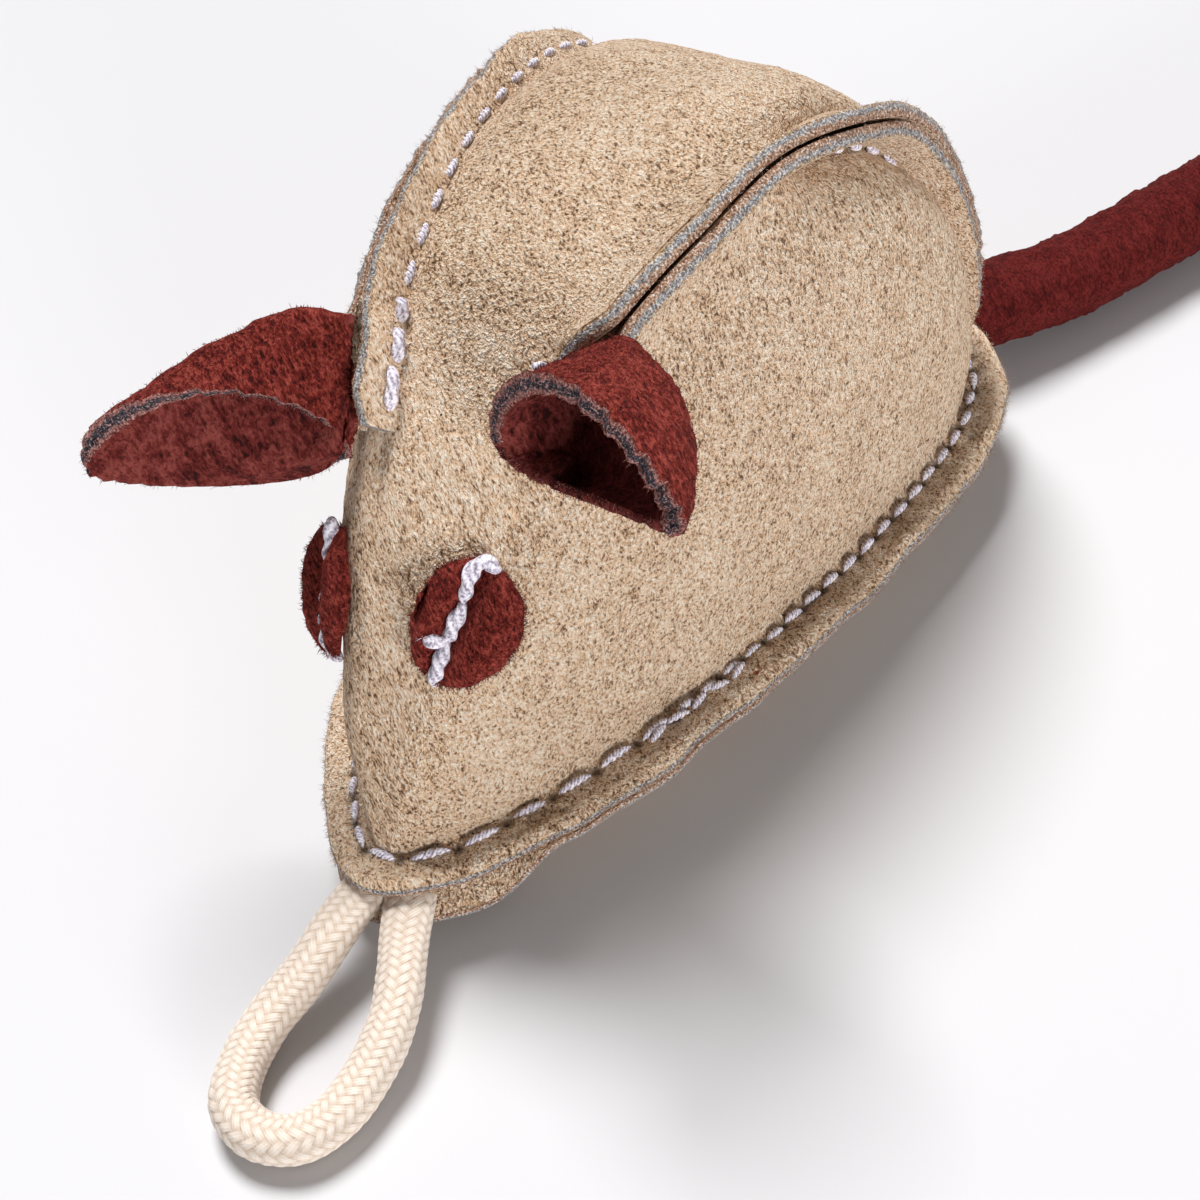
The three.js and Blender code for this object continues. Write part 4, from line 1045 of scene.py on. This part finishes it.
# Ears
# Two leaves of burgundy suede, each drawn up into a hood and caught by its crease in the front of a fin.
# The hood opens forwards with its cut rim showing, and white tacks beside the fin hold the root.
EAR_SUEDE = 1.7
RIM_THICKER = 1.35
RIM_SWELL = 0.2
EAR_HOODS = {
    "left": {
        "middle": (31.4, 20.6, 61.3), "long": (3.3, 11.9, 0.3), "cross": (0, 2.0, 6.0),
        "droop": (0, 0, -2.6), "egg": 0.42, "bulge": (-6.9, 5.7, 2.4), "bulged_at": 30, "focus": 1.6,
        "swell": 0.12, "lobe": 2.6, "creased_at": 262,
        "pinch_front": (25.8, 14.7, 49.2), "pinch_back": (16.4, 14.4, 60.4),
    },
    "right": {
        "middle": (35.9, -23.0, 50.9), "long": (7.2, -11.2, 0.65), "cross": (0, 0, 6.2),
        "droop": (0, 0, -2.0), "egg": 0.1, "bulge": (-3.0, -2.0, 3.6), "bulged_at": 70, "focus": 1.0,
        "swell": 0.1, "lobe": 0.0, "creased_at": 262,
        "pinch_front": (30.5, -10.2, 49.5), "pinch_back": (20.5, -13.5, 58.5),
    },
}
# Flesh side of the ears: coarser and darker than the napped side; part of the darkness is painted shade.
burgundy_inside_shaded = napped_suede(
    "burgundy suede flesh side with painted shade", pit="#260c0c", nap="#5f221f", tip="#823f39",
    grain=0.5, clumped=0.45, relief_mm=1.2,
    flecks=[(0.0, "#40161a"), (0.5, "#6a2c2c"), (0.85, "#8a5048")],
)


def ear_hood(shape, seed):
    """A leaf drawn up into a hood. u goes round the rim, an egg-shaped loop that droops at its two ends, and
    w goes from the rim over a bulge to the pinch, a short line in the fin, as a quadratic curve. One lobe
    swells into the hood up to the crease. The leaf is thickest at its upper rim and thins to the pinch."""
    u = np.linspace(0, 2 * np.pi, 145)[:, None]
    c, s = np.cos(u), np.sin(u)
    rim = (
        shape["middle"] + shape["long"] * c
        + shape["cross"] * s * (1 - shape["egg"] * c) + shape["droop"] * c ** 2
    )
    pinch = mix(shape["pinch_front"], shape["pinch_back"], (1 + s) / 2)
    lean = ((1 + np.cos(u - np.radians(shape["bulged_at"]))) / 2) ** shape["focus"]
    crown = mix(rim, pinch, 0.5) + shape["bulge"] * lean + (rim - shape["middle"]) * shape["swell"]
    ragged = 0.008 * np.sin(23 * u + seed) + 0.007 * np.sin(41 * u)
    w = mix(ragged, 1, np.linspace(0, 1, 49)[None])[..., None]
    hood = (1 - w) ** 2 * rim[:, None] + 2 * w * (1 - w) * crown[:, None] + w ** 2 * pinch[:, None]
    around = np.roll(hood[:-1], -1, 0) - np.roll(hood[:-1], 1, 0)
    out = unit(np.cross(around, np.gradient(hood[:-1], axis=1)))
    out = np.concatenate([out, out[:1]]) * np.sign(out[36, 12, 2])
    crease = np.radians(shape["creased_at"])
    lobe = shape["lobe"] * ease((u - 0.8 * np.pi) / (crease - 0.8 * np.pi)) * (u <= crease)
    hood = hood - out * lobe[..., None] * 4 * w * (1 - w)
    low = ease((-s - 0.2) / 0.5)
    thick = EAR_SUEDE * mix(RIM_THICKER, 1, ease(w / 0.16)) * mix(1, 0.25, ease((w - 0.7) / 0.3))
    thick = thick * mix(1, 0.4, low)[..., None]
    nap = 0.17 * ripple(hood, 2.0, seed + 1, 30) + 0.2 * ripple(hood, 7.0, seed + 2)
    nap = nap[..., None] * ease(w / 0.1)
    return hood + out * (thick / 2 + nap), hood - out * (thick / 2 - 0.6 * nap), out, low


def ear_piece(side_name, seed):
    """The two faces of a hood with the cut rim between them and its loose fibres."""
    shape = {key: np.array(value, float) for key, value in EAR_HOODS[side_name].items()}
    outer, inner, out, low = ear_hood(shape, seed)
    share = np.linspace(0, 1, 7)[None, :, None]
    ahead = unit(outer[:, 0] - outer[:, 2])[:, None]
    rim = mix(outer[:, :1], inner[:, :1], share) + ahead * RIM_SWELL * np.sin(np.pi * share)
    rim_uv = np.zeros(rim.shape[:2] + (2,))
    rim_uv[..., 1] = share[..., 0]
    shut = mix(outer[:, -1:], inner[:, -1:], np.linspace(0, 1, 3)[None, :, None])
    rim_roots, row, _ = scatter(rim, count=1000, seed=seed + 3)
    rim_fuzz = loose_fibres(rim_roots, ahead[row, 0], length=0.6, seed=seed + 4, radius=0.03)
    nap_roots, row, column = scatter(outer[:, :40], count=3200, seed=seed + 5)
    nap_fuzz = loose_fibres(nap_roots, out[row, column], length=0.5, seed=seed + 6, radius=0.04)
    # The inner face and the rim's low side take the darker flesh-side suede, with its painted shade.
    ear = make_piece("ear_leaf_" + side_name, [
        (outer, (0, 0), 0, 0), (inner, (0, 0), 2, 0),
        (rim, rim_uv, np.where(low[:-1] > 0.4, 2, 1), 0), (shut, (0, 0), 0, 0),
        (rim_fuzz, (0, 0.14), 1, 0), (nap_fuzz, (0, 0), 0, 0),
    ], [burgundy, burgundy_edge, burgundy_inside_shaded])
    pinched = mix(shape["pinch_front"], shape["pinch_back"], 0.5)
    pinch_line = unit(shape["pinch_back"] - shape["pinch_front"])
    way = shape["middle"] + shape["droop"] - pinched
    way = unit(way - np.dot(way, pinch_line) * pinch_line)
    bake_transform(ear)
    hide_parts("ear_" + side_name, "ear_root_" + side_name)


ear_piece("left", 81)
ear_piece("right", 91)

TACK_AT = {"left": np.array((0.378, 0.36, 0.342)), "right": np.array((0.4, 0.364, 0.323))}
TACK_HALF = {"left": np.array((0.007, 0.007, 0.007)), "right": np.array((0.01, 0.015, 0.019))}
for side_name in SIDES:
    low, face_out = ridge_spots(TACK_AT[side_name] - TACK_HALF[side_name], side_name, -1, np.full(3, 0.9))
    high, _ = ridge_spots(TACK_AT[side_name] + TACK_HALF[side_name], side_name, -1, np.full(3, 1.1))
    lifted = np.array((0.0, 0.0, 0.85))
    ear_tack = make_piece("ear_tack_stitches_" + side_name, [
        twisted_stitches(low, high, face_out, radius=0.66, rise=0.35, turns=0.7),
        twisted_stitches(low + lifted, high + lifted, face_out, radius=0.66, rise=0.4, turns=0.7),
    ], [thread])
    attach(ear_tack, "body")
    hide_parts("ear_tack_" + side_name)

# Eyes
# A disc of burgundy suede on each side of the face, sewn down through its middle with thick white yarn.
# The stitches pull a crease across the disc, so its two halves stand up beside the yarn like a coffee bean.
EYE_LONG = 6.8
EYE_SHORT = 5.5
EYE_AT = 0.165
EYE_ANGLE = {"left": 72.0, "right": 57.0}
EYE_WRAP = 0.55
EYE_PUFF = {"left": 0.0, "right": 0.55}
YARN_SUNK = {"left": 0.0, "right": 0.3}
YARN_RADIUS = 0.82
CREASE_SHIFT = 1.0
CREASE_RISE = 0.86
CREASE_SLANT = 0.51
YARN_RUNS = [
    [(6.2, 1.0, 0.6), (6.9, 0.1, 1.7), (7.0, -0.9, 1.8), (6.0, -1.6, 1.9),
     (4.6, -1.6, 1.9), (3.0, -1.3, 1.7), (2.0, -1.1, 0.7)],
    [(2.1, -1.1, 0.6), (1.2, -1.05, 1.6), (-0.1, -1.1, 1.8), (-1.6, -1.0, 1.6), (-2.5, -0.95, 0.6)],
    [(-2.3, -0.9, 0.7), (-3.1, -0.9, 1.6), (-4.8, -0.7, 1.7), (-6.4, -0.5, 1.2), (-7.8, -0.4, 0.1)],
    [(-2.4, -0.9, 1.3), (-2.7, -1.6, 1.9), (-2.8, -2.5, 2.1), (-2.8, -3.5, 1.7)],
]


def eye_frame(side_name):
    """Angle of an eye's middle on the left half of the face, the way out, the way across and the way up."""
    angle = np.radians(EYE_ANGLE[side_name])
    out = body_normal(np.array([EYE_AT]), np.array([angle]))[0]
    across = unit(np.cross((0, 0, 1.0), out))
    return angle, out, across, np.cross(out, across)


def on_face(side_name, u, v):
    """A sheet partly laid on the curved face: a point u across and v up from the eye's middle is pushed in or
    out until it meets the body, and only part of the way where the face falls back."""
    turned, out, across, up = eye_frame(side_name)
    step = 0.002
    centre = body_point(EYE_AT, turned)
    by_t = (body_point(EYE_AT + step, turned) - body_point(EYE_AT - step, turned)) * 0.5 / step
    by_a = (body_point(EYE_AT, turned + step) - body_point(EYE_AT, turned - step)) * 0.5 / step
    a0, a1, b0, b1 = by_t @ across, by_t @ up, by_a @ across, by_a @ up
    det = a0 * b1 - a1 * b0
    flat = centre + u[..., None] * across + v[..., None] * up
    t, angle = np.full_like(u, EYE_AT), np.full_like(u, turned)
    for _ in range(12):
        miss = flat - body_point(t, angle)
        x, y = 0.7 * (miss @ across), 0.7 * (miss @ up)
        t = np.maximum(0.02, t + (x * b1 - y * b0) / det)
        angle = angle + (a0 * y - a1 * x) / det
    sink = (body_point(t, angle) - flat) @ out
    return flat + out * (np.where(sink > 0, sink, sink * EYE_WRAP) + SEAM_GAP / 2)[..., None]


def along_crease(side_name, q, p, up):
    """Points over an eye, q mm along its crease and p mm beside it, raised from the face."""
    q, p, up = np.broadcast_arrays(np.asarray(q, float), p, up)
    across = q * CREASE_SLANT + p * CREASE_RISE
    above = q * CREASE_RISE - p * CREASE_SLANT
    return on_face(side_name, across, above) + eye_frame(side_name)[1] * up[..., None]


eye_rho = np.linspace(0, 1, 30)[:, None]
eye_theta = np.linspace(0, 2 * np.pi, 97)[None]
eye_cut = eye_rho * (1 + 0.02 * np.sin(3 * eye_theta + 1) + 0.012 * np.sin(11 * eye_theta))
eye_q, eye_p = EYE_LONG * eye_cut * np.sin(eye_theta), EYE_SHORT * eye_cut * np.cos(eye_theta)
from_crease = eye_p + CREASE_SHIFT
eye_stand = np.where(from_crease > 0, 1.5, 1.1) * (1 - np.exp(-(from_crease / 1.8) ** 2))
eye_stand = eye_stand - 0.25 * np.exp(-(from_crease / 1.2) ** 2)
eye_thick = SUEDE * (1 - 0.3 * eye_rho ** 6) * (1 - 0.3 * np.exp(-(from_crease / 1.0) ** 2))
eye_rim_share = np.linspace(0, 1, 7)[:, None, None]


def yarn_run(line, out, radius, turns):
    """Soft yarn along a line: a two-ply section that turns along it and closes to a point at both ends."""
    share = np.linspace(0, 1, len(line))
    way = unit(np.gradient(line, axis=0))
    side = unit(np.cross(way, out))
    theta = np.linspace(0, 2 * np.pi, 17)
    swell = np.clip(np.sin(np.pi * share), 0, 1) ** 0.35
    size, uv = two_ply(radius, swell, share, theta, turns, groove=0.17)
    ring = np.cos(theta)[:, None] * side[:, None] + np.sin(theta)[:, None] * np.cross(side, way)[:, None]
    return line[:, None] + size[..., None] * ring, uv, 0, 0


for side_name, flip in SIDES.items():
    eye_out = eye_frame(side_name)[1]
    eye_sheet = along_crease(side_name, eye_q, eye_p, 0.0)
    puffed = 1 + EYE_PUFF[side_name] * (1 - eye_rho ** 2) - 0.35 * eye_rho ** 4
    eye_low = eye_sheet + eye_out * (0.15 + puffed * eye_stand)[..., None]
    eye_bump = 0.12 * ripple(eye_sheet, 1.8, 33, 30) * (1 - eye_rho ** 8) * np.minimum(1, eye_rho * 8)
    eye_high = eye_low + eye_out * (eye_thick + eye_bump)[..., None]
    eye_rim = mix(eye_low[-1][None], eye_high[-1][None], eye_rim_share)
    rim_out = unit(eye_sheet[-1] - eye_sheet[-2])
    eye_rim = eye_rim + rim_out * RIM_SWELL * np.sin(np.pi * eye_rim_share)
    eye_roots, _, _ = scatter(eye_high[4:], count=900, seed=411)
    rim_roots, _, rim_column = scatter(eye_rim, count=900, seed=413)
    rim_ways = rim_out[rim_column] + 0.3 * eye_out
    eye = make_piece("eye_disc_" + side_name, [
        (eye_high * flip, (0, 0), 0, 0), (eye_low * flip, (0, 0), 0, 0), (eye_rim * flip, (0, 0), 0, 0),
        (loose_fibres(eye_roots, eye_out, length=0.55, seed=412, radius=0.04) * flip, (0, 0), 0, 0),
        (loose_fibres(rim_roots, rim_ways, length=0.75, seed=414, radius=0.035) * flip, (0, 0), 0, 0),
    ], [burgundy])
    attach(eye, "body")
    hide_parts("eye_" + side_name)
    yarn = []
    for route in YARN_RUNS:
        q, p, up = np.array(route).T
        line, length = smooth_route(along_crease(side_name, q, p, up - YARN_SUNK[side_name]), 41)
        run, uv, _, _ = yarn_run(line, eye_out, YARN_RADIUS, turns=0.22 * length[-1])
        yarn.append((run * flip, uv, 0, 0))
    tuft_from = along_crease(side_name, np.full(40, -2.8), np.full(40, -3.0), np.full(40, 2.0))
    tuft_way = along_crease(side_name, -2.9, -4.0, 2.3) - along_crease(side_name, -2.8, -3.0, 2.0)
    yarn.append((loose_fibres(tuft_from, tuft_way, length=1.2, seed=416, radius=0.05) * flip, (0, 0), 0, 0))
    eye_thread = make_piece("eye_stitches_" + side_name, yarn, [thread])
    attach(eye_thread, "body")
    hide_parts("eye_stitch_" + side_name)

# Floor and light
# Flat pale paper under one large soft light from above the far side, with a dim studio all round.
# A low soft light on the near side brightens the flank, and the other leaves its shadow on the floor.
FLOOR_HALF = 3.0
FLOOR_Z = -0.0002
floor_corners = [(x * FLOOR_HALF, y * FLOOR_HALF, FLOOR_Z) for x, y in ((-1, -1), (1, -1), (1, 1), (-1, 1))]
floor_mesh = bpy.data.meshes.new("floor")
floor_mesh.from_pydata(floor_corners, [], [(0, 1, 2, 3)])
floor = bpy.data.objects.new("floor", floor_mesh)
bpy.context.scene.collection.objects.link(floor)
# Pale grey paper, which the upper light brings near white and which still takes the shadow.
paper, paper_shader, _ = new_material("white background paper")
fill_node(paper, paper_shader, {"Base Color": linear("#d6d5d7"), "Roughness": 0.9, "Specular IOR Level": 0.1})
floor_mesh.materials.append(paper)


def studio_light(name, towards, strength, spread):
    """A large soft light far off, the same all over the set: the way towards it, its strength and its width
    in degrees."""
    data = bpy.data.lights.new(name, "SUN")
    data.energy = strength
    data.angle = np.radians(spread)
    lamp = bpy.data.objects.new(name, data)
    bpy.context.scene.collection.objects.link(lamp)
    back = unit(np.array(towards))
    side = unit(np.cross((0, 0, 1.0), back))
    up = np.cross(back, side)
    lamp.matrix_world = Matrix([(side[i], up[i], back[i], 0.5 * back[i]) for i in range(3)] + [(0, 0, 0, 1)])


studio_light("key", towards=(-0.30, -0.30, 0.80), strength=4.0, spread=24)
studio_light("fill", towards=(0.50, 0.85, 0.11), strength=2.7, spread=25)
# The studio round the set: dim for the object, white in reflections and to the camera past the floor.
STUDIO_STRENGTH = 0.2
world = bpy.data.worlds.new("studio")
world.use_nodes = True
ray = add_node(world, "ShaderNodeLightPath", {}).outputs
seen = add_node(world, "ShaderNodeMath", {
    "operation": "ADD", "use_clamp": True, 0: ray["Is Camera Ray"], 1: ray["Is Glossy Ray"],
}).outputs[0]
shown = add_node(world, "ShaderNodeMath", {
    "operation": "ADD", "use_clamp": True, 0: seen, 1: ray["Is Transmission Ray"],
}).outputs[0]
bright = add_node(world, "ShaderNodeMath", {
    "operation": "MULTIPLY_ADD", 0: shown, 1: 1 - STUDIO_STRENGTH, 2: STUDIO_STRENGTH,
}).outputs[0]
fill_node(world, world.node_tree.nodes["Background"], {"Color": (1.0, 1.0, 1.0, 1.0), "Strength": bright})
bpy.context.scene.world = world
bpy.context.scene.view_settings.view_transform = "Standard"
